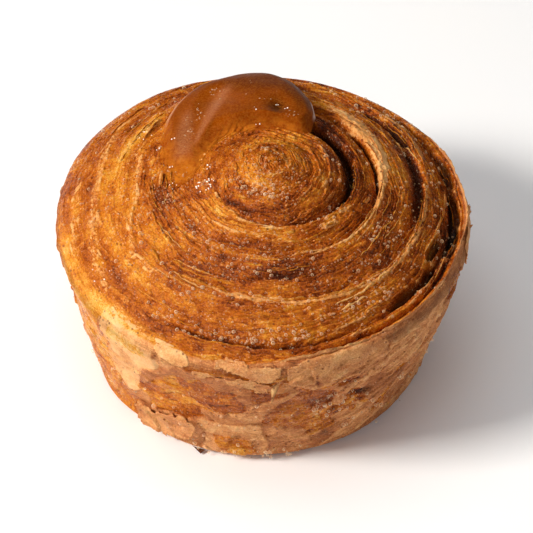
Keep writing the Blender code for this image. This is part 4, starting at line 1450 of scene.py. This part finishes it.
# Pointed scraps: angle, height mm of the foot, foot length mm, reach out, along and up mm, tone, pale,
# shade and scorch (the burnt scrap at the foot has it)
scraps = (
    (273.6, 33.0, 2.2, 1.0, -0.9, -5.4, 0.80, 0.5, 0.0),
    (270.6, 31.8, 1.4, 0.8, 0.6, -1.6, 0.76, 0.4, 0.0),
    (277.0, 38.0, 1.6, 0.8, -1.0, -0.8, 1.0, 1.0, 0.0),
    (248.5, 0.9, 3.6, 0.7, 0.8, -0.4, 0.10, 0.0, 0.5),
    (181.0, 31.5, 2.4, 0.7, 0.6, -0.8, 0.45, 0.2, 0.0),
    (356.0, 35.5, 3.0, 0.7, 0.5, 0.9, 0.72, 0.3, 0.0),
)

scrap = {
    "steps": 24,
    "thick": 0.3 * mm,
    "sunk": 0.4,  # mm
    "wallRadius": 41,  # mm, that turns a foot's length into degrees
}


def makeScraps():
    work = readyBmesh()
    for angle, height, footLength, out, along, rise, tone, pale, shadeAndScorch in scraps:
        def column(u):
            degrees = angle + math.degrees((u - 0.5) * footLength / scrap["wallRadius"])
            foot = crustPlace(wallSpot(degrees, height * mm))[0] - outward(degrees) * scrap["sunk"] * mm
            reach = max(0.0, 1 - abs(2 * u - 1)) ** 1.3
            sideways = Vector((-outward(degrees).y, outward(degrees).x, 0))
            away = outward(degrees) * (out + scrap["sunk"]) * reach
            away = away + sideways * along * reach + up * rise * reach
            bakeAndShade = {"tone": tone, "pale": pale, "shadeAndScorch": shadeAndScorch, "matte": 1.0}
            return foot, foot + away * mm, up, bakeAndShade

        addStrip(work, scrap["steps"], column, scrap["thick"])
    return finished("scraps", work)


# Sugar: angle, half angle, radius or height mm, half width mm, grains. Dust is the finest of it.
sugarOnCrown = (
    (262, 20, 38.2, 1.2, 110),
    (300, 16, 36.8, 1.8, 50),
    (262, 26, 25.0, 3.4, 80),
    (250, 30, 32.0, 2.2, 60),
    (262, 40, 7.5, 2.0, 60),
    (90, 70, 4.0, 3.0, 12),
    (322, 16, 16.5, 1.2, 26),
    (330, 5, 26.5, 0.6, 7),
    (20, 40, 15.0, 2.0, 20),
    (45, 24, 42.0, 1.6, 46),
    (20, 30, 37.0, 2.5, 44),
    (340, 24, 39.5, 2.5, 34),
    (330, 30, 31.0, 3.0, 36),
    (195, 20, 34.0, 6.0, 34),
    (205, 24, 22.0, 4.0, 24),
    (160, 20, 27.0, 4.0, 12),
    (160, 30, 41.5, 2.0, 14),
    (90, 60, 38.0, 5.0, 60),
    (20, 20, 22.5, 1.0, 12),
)
sugarDust = (
    (262, 110, 6.5, 4.0, 190),
    (262, 50, 22.0, 7.0, 260),
    (200, 46, 30.0, 9.0, 170),
    (320, 34, 32.0, 6.0, 150),
    (262, 36, 37.0, 3.0, 120),
    (60, 60, 34.0, 7.0, 110),
    (172, 14, 19.0, 3.0, 30),
    (196, 5, 14.3, 0.9, 16),
)
sugarOnWall = (
    (291, 9, 20.0, 4.0, 60),
    (268, 20, 3.0, 2.4, 44),
    (250, 26, 15.0, 7.0, 36),
    (310, 16, 12.0, 7.0, 36),
    (210, 20, 20.0, 10.0, 14),
    (60, 60, 18.0, 10.0, 50),
    (150, 40, 18.0, 10.0, 30),
)
sugar = {
    "seed": 7,
    "small": 0.12 * mm,
    "large": 0.48 * mm,
    "amount": 1.1,
    "spread": 0.7,
    "dustShare": 0.35,  # of the difference between the smallest and the largest grain
    "sides": 8,
    "bands": 6,
    "crownEdge": 43 * mm,
    "wallLow": 1.0,  # mm
    "wallHigh": 36.0,
}


def addGrain(work, chance, spot, lift, share=1.0):
    size = sugar["small"] + share * (sugar["large"] - sugar["small"]) * chance.random() ** 1.8
    turn = Euler([chance.uniform(0, fullTurn) for _ in range(3)]).to_matrix().to_4x4()
    stretch = Matrix.Diagonal((size, size * chance.uniform(0.75, 1.0), size * chance.uniform(0.7, 1.0), 1))
    grain = bmesh.new()
    bmesh.ops.create_uvsphere(grain, u_segments=sugar["sides"], v_segments=sugar["bands"], radius=1.0,
                              matrix=Matrix.Translation(spot + lift * size * 0.35) @ turn @ stretch)
    addPart(work, grain)


def addPatch(joined, chance, patch, share, placed):
    # One patch of grains: `placed` gives a grain's spot and the way out of the crust there
    angle, halfAngle, middle, halfWidth, count = patch
    part = bmesh.new()
    for _ in range(int(count * sugar["amount"])):
        degrees = chance.gauss(angle, halfAngle * sugar["spread"])
        spot, lift = placed(degrees, chance.gauss(middle, halfWidth * sugar["spread"]))
        addGrain(part, chance, spot, lift, share)
    addPart(joined, part)


def crownGrain(degrees, radius):
    return crustPlace(crownSpot(degrees, min(abs(radius) * mm, sugar["crownEdge"])))[0], up


def wallGrain(degrees, height):
    height = min(sugar["wallHigh"], max(sugar["wallLow"], height)) * mm
    return crustPlace(wallSpot(degrees, height))[0], outward(degrees)


def makeSugar():
    chance = random.Random(sugar["seed"])
    joined = bmesh.new()
    for patch in sugarOnCrown:
        addPatch(joined, chance, patch, 1.0, crownGrain)
    for patch in sugarDust:
        addPatch(joined, chance, patch, sugar["dustShare"], crownGrain)
    for patch in sugarOnWall:
        addPatch(joined, chance, patch, 1.0, wallGrain)
    return finished("sugar", joined)


sugarLook = {
    "amber": (1.0, 0.62, 0.31),
    "pale": (1.0, 0.82, 0.56),
    "blend": 0.45,
    "clearest": 0.12,
    "fullest": 0.85,
    "gloss": 0.4,
    # painted glow: the grains give out a little light of their own
    "paintedGlow": (1.0, 0.60, 0.30, 1),  # light gathered inside the grains
    "paintedGlowShare": 0.10,
}


def makeSugarMaterial():
    # Clear grains: the crust shows through their middles; solid pale rims and a faint glow paint the light
    # they catch
    made, tree, shader = newMaterial("sugarGrains")
    place = node(tree, "ShaderNodeTexCoord", (-700, 0)).outputs["Object"]
    tint = ranged(tree, (-300, 0), noiseOf(tree, (-500, 0), place, 700), 0.35, 0.65)
    colour = mixColour(tree, (-100, 0), tint, sugarLook["amber"], sugarLook["pale"])
    tree.links.new(colour, shader.inputs["Base Color"])
    facing = node(tree, "ShaderNodeLayerWeight", (-500, 250))
    facing.inputs["Blend"].default_value = sugarLook["blend"]
    clear = ranged(tree, (-300, 250), facing.outputs["Facing"], 0.15, 0.75,
                   sugarLook["clearest"], sugarLook["fullest"])
    tree.links.new(clear, shader.inputs["Alpha"])
    rough = ranged(tree, (-300, -250), noiseOf(tree, (-500, -250), place, 2500), 0.3, 0.7, 0.08, 0.25)
    tree.links.new(rough, shader.inputs["Roughness"])
    shader.inputs["Specular IOR Level"].default_value = sugarLook["gloss"]
    shader.inputs["Emission Color"].default_value = sugarLook["paintedGlow"]
    shader.inputs["Emission Strength"].default_value = sugarLook["paintedGlowShare"]
    return made


for makePiece in (makeLeafEdges, makeCollarEdge, makeSkins, makeScraps):
    dressed(makePiece(), crustMaterial)
sugarMaterial = makeSugarMaterial()
dressed(makeSugar(), sugarMaterial)


# Set caramel behind the nub. Its outline in plan, in mm, and every 15 degrees about its middle how far in
# from the edge it reaches its full thickness, and how high its edge stands.
caramel = {
    "x": -5.0 * mm,
    "y": 21.0 * mm,
    "outline": (
        (11.6, 17.3), (10.9, 22.8), (9.4, 26.8), (6.9, 33.0), (5.0, 36.4), (2.6, 38.9), (-1.5, 40.1),
        (-5.9, 39.5), (-8.6, 37.4), (-10.8, 35.9), (-13.4, 34.8), (-15.0, 32.0), (-16.8, 29.0),
        (-18.8, 24.8), (-20.2, 20.3), (-21.8, 14.8), (-22.3, 10.1), (-21.6, 5.5), (-20.4, 1.3),
        (-19.2, -2.0), (-17.5, -3.0), (-15.5, -2.2), (-13.8, -0.4), (-12.8, 1.6), (-11.7, 4.4),
        (-10.3, 7.0), (-8.4, 9.2), (-6.8, 10.2), (-4.6, 10.8), (-2.5, 11.4), (0.7, 12.0), (3.9, 12.4),
        (7.1, 11.8), (9.8, 11.6), (10.6, 13.6),
    ),
    "shoulder": (
        2.4, 2.6, 3.0, 3.6, 4.4, 4.6, 4.0, 3.2, 2.2, 1.6, 1.4, 1.4,
        1.6, 2.4, 4.0, 6.0, 6.0, 5.0, 5.0, 5.0, 5.0, 4.0, 2.6, 2.2,
    ),
    "edge": (
        1.1, 1.1, 1.1, 1.0, 0.8, 0.7, 0.7, 0.8, 0.9, 0.9, 0.9, 0.9,
        0.8, 0.6, 0.3, 0.0, -0.1, -0.1, -0.1, -0.1, -0.1, 0.0, 0.5, 0.9,
    ),
    "thin": 1.5,  # mm, left of the fold
    "thicker": 1.6,  # mm more on the other side
    "lump": 1.3 * mm,  # at the back
    "foldRise": 0.34,  # mm
    "creaseRise": 0.10 * mm,
    "dimple": 0.9 * mm,
    "bead": 0.14 * mm,
    "skirt": 3.2 * mm,
    "rings": 96,
    "steps": 320,
}


def reachAlong(degrees):
    # Length from the caramel's middle to its outline
    ux, uy = math.cos(math.radians(degrees)), math.sin(math.radians(degrees))
    cx, cy = caramel["x"] / mm, caramel["y"] / mm
    points = caramel["outline"]
    longest = 0.0
    for (ax, ay), (bx, by) in zip(points, points[1:] + points[:1]):
        dx, dy = bx - ax, by - ay
        turn = ux * dy - uy * dx
        if abs(turn) < 1e-9:
            continue
        away = ((ax - cx) * dy - (ay - cy) * dx) / turn
        f = ((ax - cx) * uy - (ay - cy) * ux) / turn
        if away > 0 and -1e-6 <= f <= 1 + 1e-6:
            longest = max(longest, away)
    return longest


caramelSides = outlineSides([(x / arcScale, y) for x, y in caramel["outline"]])[1]


def evened(values):
    # A closed ring of values, each drawn a little towards its neighbours
    count = len(values)
    return [(values[i - 2] + 2 * values[i - 1] + 3 * values[i] + 2 * values[(i + 1) % count]
             + values[(i + 2) % count]) / 9 for i in range(count)]


reachRound = [reachAlong(half / 2) for half in range(halfDegrees)]
for lap in range(3):
    reachRound = evened(reachRound)

caramelMarks = ("paintedShade", "paintedSheen", "rim", "line", "dip", "film")


def roundTable(values, degrees):
    place = degrees / 360 * len(values)
    i = int(place) % len(values)
    f = place - int(place)
    a, b = values[i - 1], values[i]
    c, d = values[(i + 1) % len(values)], values[(i + 2) % len(values)]
    return b + 0.5 * f * (c - a + f * (2 * a - 5 * b + 4 * c - d + f * (3 * (b - c) + d - a)))


def depthFrom(x, y):
    # How far inside the caramel's outline a spot is, evened over 1 mm round it
    sides = ((0, 0), (1.1, 0), (-1.1, 0), (0, 1.1), (0, -1.1))
    inside = sum(depthInside(caramelSides, x / mm + dx, y / mm + dy) for dx, dy in sides) / len(sides)
    return max(0.0, inside) * mm


def caramelForm(x, y, fromFold, fromEdge, inner, dimple, soft):
    # A trough beside a long fold, a gentle swell, one dimple and a rounded bead at the edge
    alongFold = smoothStep(-2 * mm, 8 * mm, y) * smoothStep(34 * mm, 27 * mm, y)
    step = caramel["foldRise"]
    fold = step * smoothStep(-2.2 * mm, 1.4 * mm, fromFold) - step * bump(fromFold, -2.8 * mm, 2.2 * mm)
    fold = fold * mm * alongFold
    winding = fromFold + 0.8 * mm * math.sin(y / (3.4 * mm))
    crease = caramel["creaseRise"] * bump(winding, -5.4 * mm, 1.1 * mm) * alongFold
    swell = 0.35 * mm * noise.noise(Vector((x, y, 0)) / (9 * mm))
    swell += 0.03 * mm * noise.noise(Vector((x, y, 3)) / (2.2 * mm))
    bead = caramel["bead"] * bump(fromEdge, 0.5 * mm, 0.35 * mm) * (1 - soft)
    return (fold + crease + swell) * inner - caramel["dimple"] * dimple + bead


def caramelTints(x, y, degrees, share, fromFold, fromEdge):
    # Painted shade and sheen, the rim (part painted highlight) and the painted highlight line at the
    # caramel's edge
    # painted shade on the far top, where the caramel turns away from the light
    uneven = 2.2 * mm * noise.noise(Vector((x, y, 6)) / (6 * mm))
    edgeOfDark = 25.5 * mm + 5.5 * mm * smoothStep(-3 * mm, -11 * mm, x)
    edgeOfDark -= 8 * mm * smoothStep(3 * mm, 9 * mm, x)
    paintedShade = smoothStep(-3.5 * mm, 3.5 * mm, y + uneven - edgeOfDark)
    fading = smoothStep(4 * mm, 8 * mm, y)
    # painted shade in the crease beside the fold
    paintedShade += 0.7 * bump(fromFold, 1.2 * mm, 0.5 * mm) * fading * smoothStep(19 * mm, 13 * mm, y)
    # painted sheen in two bands where the caramel reflects the light
    fading = smoothStep(0, 5 * mm, y) * smoothStep(23 * mm, 17 * mm, y)
    wide = (1.3 + 0.9 * smoothStep(18 * mm, 6 * mm, y)) * mm
    paintedSheen = bump(x, -16.2 * mm - 0.07 * (16 * mm - y), wide) * fading
    wide = (0.5 + 1.2 * smoothStep(8 * mm, 24 * mm, y)) * mm
    fading = smoothStep(7 * mm, 10 * mm, y)
    paintedSheen += bump(fromFold, -0.3 * mm, wide) * fading * smoothStep(31 * mm, 26 * mm, y)
    # pale rim along the left edge: part folded skin, part painted highlight
    rim = smoothStep(0.9 * mm, 0.5 * mm, fromEdge) * smoothStep(1.4, 1.25, share)
    rim *= smoothStep(46, 30, abs(angleOff(degrees, 165)))
    # thin painted highlight along the right edge
    line = smoothStep(0.50 * mm, 0.28 * mm, fromEdge) * smoothStep(1.16, 1.08, share)
    line *= smoothStep(46, 38, abs(angleOff(degrees, 26))) * (1 - 0.6 * smoothStep(0.985, 1.0, share))
    return paintedShade, paintedSheen, rim, line


def caramelPlace(degrees, share):
    # A point of the caramel's upper face, from its middle (0) to its edge (1) and down its side (past 1),
    # with its painted shade, painted sheen and rim, and how deep in the dimple it is
    a = math.radians(degrees)
    reach = roundTable(reachRound, degrees) * mm
    edge = roundTable(caramel["edge"], degrees) * mm
    flat = min(share, 1.0)
    x = caramel["x"] + reach * flat * math.cos(a)
    y = caramel["y"] + reach * flat * math.sin(a)
    base = plainDome(math.hypot(x, y)) + nubRelief(x, y)
    base -= backSag(math.degrees(math.atan2(y, x)), math.hypot(x, y))
    fromFold = x + 16.3 * mm - 0.31 * y
    even = (caramel["thin"] + caramel["thicker"] * smoothStep(-2.5 * mm, 8 * mm, fromFold)) * mm
    even += caramel["lump"] * smoothStep(24 * mm, 33 * mm, y) * bump(x, -7 * mm, 7 * mm)
    fromEdge = depthFrom(x, y) if flat < 1 else 0.0
    inward = min(1.0, fromEdge / (roundTable(caramel["shoulder"], degrees) * mm))
    rise = edge + (even - edge) * (1 - (1 - inward) ** 2) ** 0.8
    inner = min(1.0, fromEdge / (4 * mm))
    soft = smoothStep(82, 64, abs(angleOff(degrees, 264)))  # the sides where it thins out over the leaves
    dimple = math.exp(-(((x - 3.4 * mm) / (1.7 * mm)) ** 2 + ((y - 18.4 * mm) / (2.7 * mm)) ** 2))
    height = base + rise + caramelForm(x, y, fromFold, fromEdge, inner, dimple, soft)
    film = soft * (1 - smoothStep(0, 1, inward))
    film = max(film, smoothStep(9 * mm, 1 * mm, y) * smoothStep(-5 * mm, -9 * mm, x))
    if film > 0:
        ground = crustPlace(Vector((x, y, plainDome(math.hypot(x, y)))))[0].z
        uneven = noise.noise(Vector((x, y, 2)) / (1.7 * mm))
        uneven += 0.6 * noise.noise(Vector((x, y, 5)) / (0.6 * mm))
        height += (ground + (0.30 * inward + 0.10 * uneven - 0.05) * mm - height) * film ** 1.6
    if share > 1:
        over = share - 1
        x -= 1.2 * mm * over * math.cos(a)
        y -= 1.2 * mm * over * math.sin(a)
        height -= caramel["skirt"] * over
    paintedShade, paintedSheen, rim, line = caramelTints(x, y, degrees, share, fromFold, fromEdge)
    look = {"paintedShade": paintedShade, "paintedSheen": paintedSheen, "rim": rim, "line": line, "dip": dimple, "film": film}
    return Vector((x, y, height)), look


def makeCaramelPiece():
    steps, rings = caramel["steps"] // coarse, caramel["rings"] // coarse
    work = bmesh.new()
    hub = work.verts.new((0, 0, 0))
    line = [hub] + [work.verts.new((ring / rings, 0, 0)) for ring in range(1, rings + 1)]
    line += [work.verts.new((1 + over / 4, 0, 0)) for over in range(1, 5)]
    for first, second in zip(line, line[1:]):
        work.edges.new((first, second))
    bmesh.ops.spin(work, geom=work.verts[:] + work.edges[:], cent=(0, 0, 0), axis=(0, 0, 1), dvec=(0, 0, 0),
                   angle=fullTurn, steps=steps, use_merge=True, use_duplicate=False)
    bmesh.ops.remove_doubles(work, verts=work.verts, dist=0.0001)
    openEdges = [edge for edge in work.edges if edge.is_boundary]
    bmesh.ops.contextual_create(work, geom=openEdges)
    bmesh.ops.recalc_face_normals(work, faces=work.faces)
    layers = {name: work.verts.layers.float.new(name) for name in caramelMarks}
    for vertex in work.verts:
        share = vertex.co.xy.length
        degrees = math.degrees(math.atan2(vertex.co.y, vertex.co.x)) % 360
        # rings crowd towards the rounded edge
        share = 1 - (1 - share) ** 1.5 if share < 1 else share
        vertex.co, look = caramelPlace(degrees, share)
        stamped(vertex, layers, look)
    return finished("caramelPool", work)


caramelLook = {
    # The first colour is painted shade; skin is a painted sheen, rim partly a painted highlight, line a
    # painted highlight, dip painted shade in the dimple
    "paintedShade": (0.12, 0.020, 0.0002),
    "amber": (0.20, 0.034, 0.0003),
    "clear": (0.27, 0.050, 0.0005),
    "skin": (0.36, 0.13, 0.055),
    "rim": (0.50, 0.23, 0.12),
    "line": (0.72, 0.54, 0.46),
    "dip": (0.05, 0.008, 0.0003),
    "grain": (0.62, 0.22, 0.03),
    "filmDark": (0.24, 0.036, 0.001),
    "filmGold": (0.46, 0.125, 0.008),
    "grainRise": 0.00012,
    "grainStrength": 0.35,
    "gloss": 0.015,
    "scatter": 0.15,
    "scatterColour": (1.0, 0.3, 0.05),
    "scatterDepth": 0.0015,
}


def makeCaramelMaterial():
    made, tree, shader = newMaterial("setCaramel")
    links = tree.links
    place = node(tree, "ShaderNodeTexCoord", (-1000, 0)).outputs["Object"]
    values = {}
    for row, name in enumerate(caramelMarks):
        mark = node(tree, "ShaderNodeAttribute", (-1000, 500 - 160 * row), attribute_name=name)
        values[name] = mark.outputs["Fac"]
    cloud = noiseOf(tree, (-750, 200), place, 150, 4, 0.6)
    clear = mixColour(tree, (-400, 300), ranged(tree, (-600, 300), cloud, 0.35, 0.7), caramelLook["amber"],
                      caramelLook["clear"])
    # painted shade on the far top and in the crease
    shade = mixColour(tree, (-200, 250), values["paintedShade"], clear, caramelLook["paintedShade"])
    grain = noiseOf(tree, (-500, -550), place, 2200, 3, 0.7)
    speckles = ranged(tree, (-500, -200), grain, 0.3, 0.7, 0.3, 1)
    # painted sheen, flecked by the grain
    speckledSheen = maths(tree, (-350, -200), "MULTIPLY", values["paintedSheen"], speckles)
    skin = mixColour(tree, (0, 200), speckledSheen, shade, caramelLook["skin"])
    # pale left rim, part painted highlight, then the painted highlight line at the right edge
    rimShare = maths(tree, (0, 50), "MULTIPLY", values["rim"], 0.8)
    rimmed = mixColour(tree, (150, 150), rimShare, skin, caramelLook["rim"])
    rimmed = mixColour(tree, (250, 150), values["line"], rimmed, caramelLook["line"])
    # painted shade in the dimple
    dimpleShade = maths(tree, (0, -50), "POWER", values["dip"], 0.8)
    deep = mixColour(tree, (300, 100), dimpleShade, rimmed, caramelLook["dip"])
    patch = ranged(tree, (100, -200), noiseOf(tree, (-100, -200), place, 420, 4, 0.65), 0.38, 0.62, 0.0, 1.0)
    filmColour = mixColour(tree, (300, -150), patch, caramelLook["filmDark"], caramelLook["filmGold"])
    filmShare = ranged(tree, (300, -300), values["film"], 0.15, 0.85)
    filmed = mixColour(tree, (480, 0), filmShare, deep, filmColour)
    lit = ranged(tree, (480, -150), grain, 0.42, 0.78, 0.0, 0.32)
    links.new(mixColour(tree, (640, 0), lit, filmed, caramelLook["grain"]), shader.inputs["Base Color"])
    links.new(ranged(tree, (100, -350), cloud, 0.3, 0.7, 0.34, 0.5), shader.inputs["Roughness"])
    rise = node(tree, "ShaderNodeBump", (350, -450))
    rise.inputs["Strength"].default_value = caramelLook["grainStrength"]
    rise.inputs["Distance"].default_value = caramelLook["grainRise"]
    links.new(grain, rise.inputs["Height"])
    links.new(rise.outputs["Normal"], shader.inputs["Normal"])
    shader.inputs["Specular IOR Level"].default_value = caramelLook["gloss"]
    shader.inputs["Subsurface Weight"].default_value = caramelLook["scatter"]
    shader.inputs["Subsurface Radius"].default_value = caramelLook["scatterColour"]
    shader.inputs["Subsurface Scale"].default_value = caramelLook["scatterDepth"]
    return made


pool = makeCaramelPiece()
pool.data.materials.append(makeCaramelMaterial())
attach(pool, "root")
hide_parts("caramel")

# Sparkling crystals set in the caramel, partly painted glints: plan x and y, half lengths, in mm, grains
sparkles = (
    (-15.6, 13.5, 0.9, 3.0, 16),
    (-10.0, 28.0, 1.2, 1.2, 12),
    (-13.5, 20.0, 0.8, 5.0, 10),
    (0.0, 22.0, 7.0, 6.0, 10),
    (6.0, 15.0, 2.0, 1.0, 8),
)


sparkle = {
    "seed": 5,
    "spread": 0.6,
    "share": 0.35,
    "sunk": 0.04 * mm,
    "furthest": 0.95,  # of the way to the caramel's edge
}


def makeSparkles():
    chance = random.Random(sparkle["seed"])
    work = bmesh.new()
    for x, y, wide, long, count in sparkles:
        for _ in range(count):
            across = chance.gauss(x, wide * sparkle["spread"]) * mm - caramel["x"]
            along = chance.gauss(y, long * sparkle["spread"]) * mm - caramel["y"]
            degrees = math.degrees(math.atan2(along, across)) % 360
            share = math.hypot(across, along) / (roundTable(reachRound, degrees) * mm)
            if share < sparkle["furthest"]:
                spot = caramelPlace(degrees, share)[0]
                addGrain(work, chance, spot - up * sparkle["sunk"], up, sparkle["share"])
    return finished("sparkles", work)


dressed(makeSparkles(), sugarMaterial)

# Painted glints, glowing beads where the wet glaze shines: plan x and y, radius of the ring they lie in, mm,
# beads
paintedGlintBeads = (
    (-12.2, -4.4, 1.5, 16),
    (-11.0, -3.4, 0.7, 6),
    (-11.5, 0.8, 0.5, 3),
    (-22.1, 10.0, 0.3, 2),
    (-18.9, 11.0, 0.3, 2),
    (-19.1, 3.0, 0.3, 2),
    (-19.0, -2.6, 0.8, 4),
    (3.3, 19.4, 0.2, 2),
    (5.2, 17.2, 0.3, 2),
    (-1.4, 16.0, 0.2, 1),
    (-0.8, 13.4, 0.4, 2),
    (-25.0, 16.0, 1.5, 4),
    (-34.0, -20.0, 2.0, 5),
)


paintedGlint = {
    "seed": 3,
    "share": 0.3,
    "warm": (1.0, 0.82, 0.64),
    "pale": (1.0, 0.95, 0.88),
    "roughness": 0.15,
    "glintGlow": (1.0, 0.90, 0.78, 1),
    "glintGlowShare": 0.3,
}


def makePaintedGlintBeads():
    chance = random.Random(paintedGlint["seed"])
    work = bmesh.new()
    for x, y, ring, count in paintedGlintBeads:
        for number in range(count):
            turn = fullTurn * number / count + chance.uniform(-0.4, 0.4)
            away = ring * chance.uniform(0.8, 1.15)
            px, py = (x + away * math.cos(turn)) * mm, (y + away * math.sin(turn)) * mm
            spot = crustPlace(Vector((px, py, plainDome(math.hypot(px, py)))))[0]
            if depthInside(caramelSides, px / mm, py / mm) > 0:
                across, along = px - caramel["x"], py - caramel["y"]
                degrees = math.degrees(math.atan2(along, across)) % 360
                share = math.hypot(across, along) / (roundTable(reachRound, degrees) * mm)
                spot = max((spot, caramelPlace(degrees, share)[0]), key=lambda place: place.z)
            addGrain(work, chance, spot, up, paintedGlint["share"])
    return finished("paintedGlazeGlints", work)


# pale beads that glow: painted highlights
def makePaintedGlintMaterial():
    made, tree, shader = newMaterial("paintedGlintGlow")
    place = node(tree, "ShaderNodeTexCoord", (-700, 0)).outputs["Object"]
    tint = ranged(tree, (-300, 0), noiseOf(tree, (-500, 0), place, 900), 0.35, 0.65)
    colour = mixColour(tree, (-100, 0), tint, paintedGlint["warm"], paintedGlint["pale"])
    tree.links.new(colour, shader.inputs["Base Color"])
    shader.inputs["Roughness"].default_value = paintedGlint["roughness"]
    shader.inputs["Emission Color"].default_value = paintedGlint["glintGlow"]
    shader.inputs["Emission Strength"].default_value = paintedGlint["glintGlowShare"]
    return made


dressed(makePaintedGlintBeads(), makePaintedGlintMaterial())


# Floor, light and camera
stage = {
    "floorSize": 1.6,
    "floorColour": (0.95, 0.97, 1.0),
    "floorGrain": (0.98, 0.98, 0.98),
    "distance": 0.6,
    "elevation": math.radians(46.3),
    "target": Vector((0, 0, 0.025)),
    "aim": (0.974 * mm, -2.706 * mm),  # sideways and up from the target, for the framing
    "lens": 187.2,
    "sensor": 36,
    "sky": (0.97, 0.98, 1.0, 1),
    "skyLight": 0.14,
    "lit": (0, 0, 0.03),  # where the lamps point
}


def makeFloor():
    work = bmesh.new()
    bmesh.ops.create_grid(work, x_segments=8, y_segments=8, size=stage["floorSize"] / 2)
    mesh = bpy.data.meshes.new("floor")
    work.to_mesh(mesh)
    work.free()
    floor = bpy.data.objects.new("floor", mesh)
    bpy.context.scene.collection.objects.link(floor)
    made, tree, shader = newMaterial("paleFloor")
    grain = node(tree, "ShaderNodeTexNoise", (-300, 0))
    grain.inputs["Scale"].default_value = 30
    place = node(tree, "ShaderNodeTexCoord", (-500, 0))
    tree.links.new(place.outputs["Object"], grain.inputs["Vector"])
    tint = mixColour(tree, (0, 0), grain.outputs["Fac"], stage["floorColour"], stage["floorGrain"])
    tree.links.new(tint, shader.inputs["Base Color"])
    shader.inputs["Roughness"].default_value = 0.8
    mesh.materials.append(made)


def aimed(obj, point):
    direction = Vector(point) - obj.location
    obj.rotation_euler = direction.to_track_quat("-Z", "Y").to_euler()


def makeCamera():
    data = bpy.data.cameras.new("camera")
    data.lens = stage["lens"]
    data.sensor_width = stage["sensor"]
    camera = bpy.data.objects.new("camera", data)
    bpy.context.scene.collection.objects.link(camera)
    tilt = stage["elevation"]
    back = Vector((0, -math.cos(tilt), math.sin(tilt)))
    above = Vector((0, math.sin(tilt), math.cos(tilt)))
    camera.location = stage["target"] + back * stage["distance"]
    aimed(camera, stage["target"] + Vector((stage["aim"][0], 0, 0)) + above * stage["aim"][1])
    bpy.context.scene.camera = camera


lamps = (
    # name, place, size, power, colour
    ("key", (-0.68, -0.22, 0.62), 0.24, 9.5, (1.0, 0.95, 0.88)),
    ("fill", (0.40, -0.85, 0.60), 0.9, 1.7, (0.94, 0.97, 1.0)),
    ("top", (-0.1, 0.15, 1.1), 0.9, 4.2, (1.0, 0.98, 0.96)),
)


def makeLamps():
    for name, place, size, power, colour in lamps:
        data = bpy.data.lights.new(name, "AREA")
        data.size = size
        data.energy = power
        data.color = colour
        lamp = bpy.data.objects.new(name, data)
        bpy.context.scene.collection.objects.link(lamp)
        lamp.location = place
        aimed(lamp, stage["lit"])
    world = bpy.data.worlds.new("studio")
    world.use_nodes = True
    sky = world.node_tree.nodes["Background"]
    sky.inputs["Color"].default_value = stage["sky"]
    sky.inputs["Strength"].default_value = stage["skyLight"]
    bpy.context.scene.world = world


makeFloor()
makeCamera()
makeLamps()
print("stage: floor, camera,", len(lamps), "lamps")
bpy.context.scene.view_settings.view_transform = "Standard"
bpy.context.scene.view_settings.look = "None"
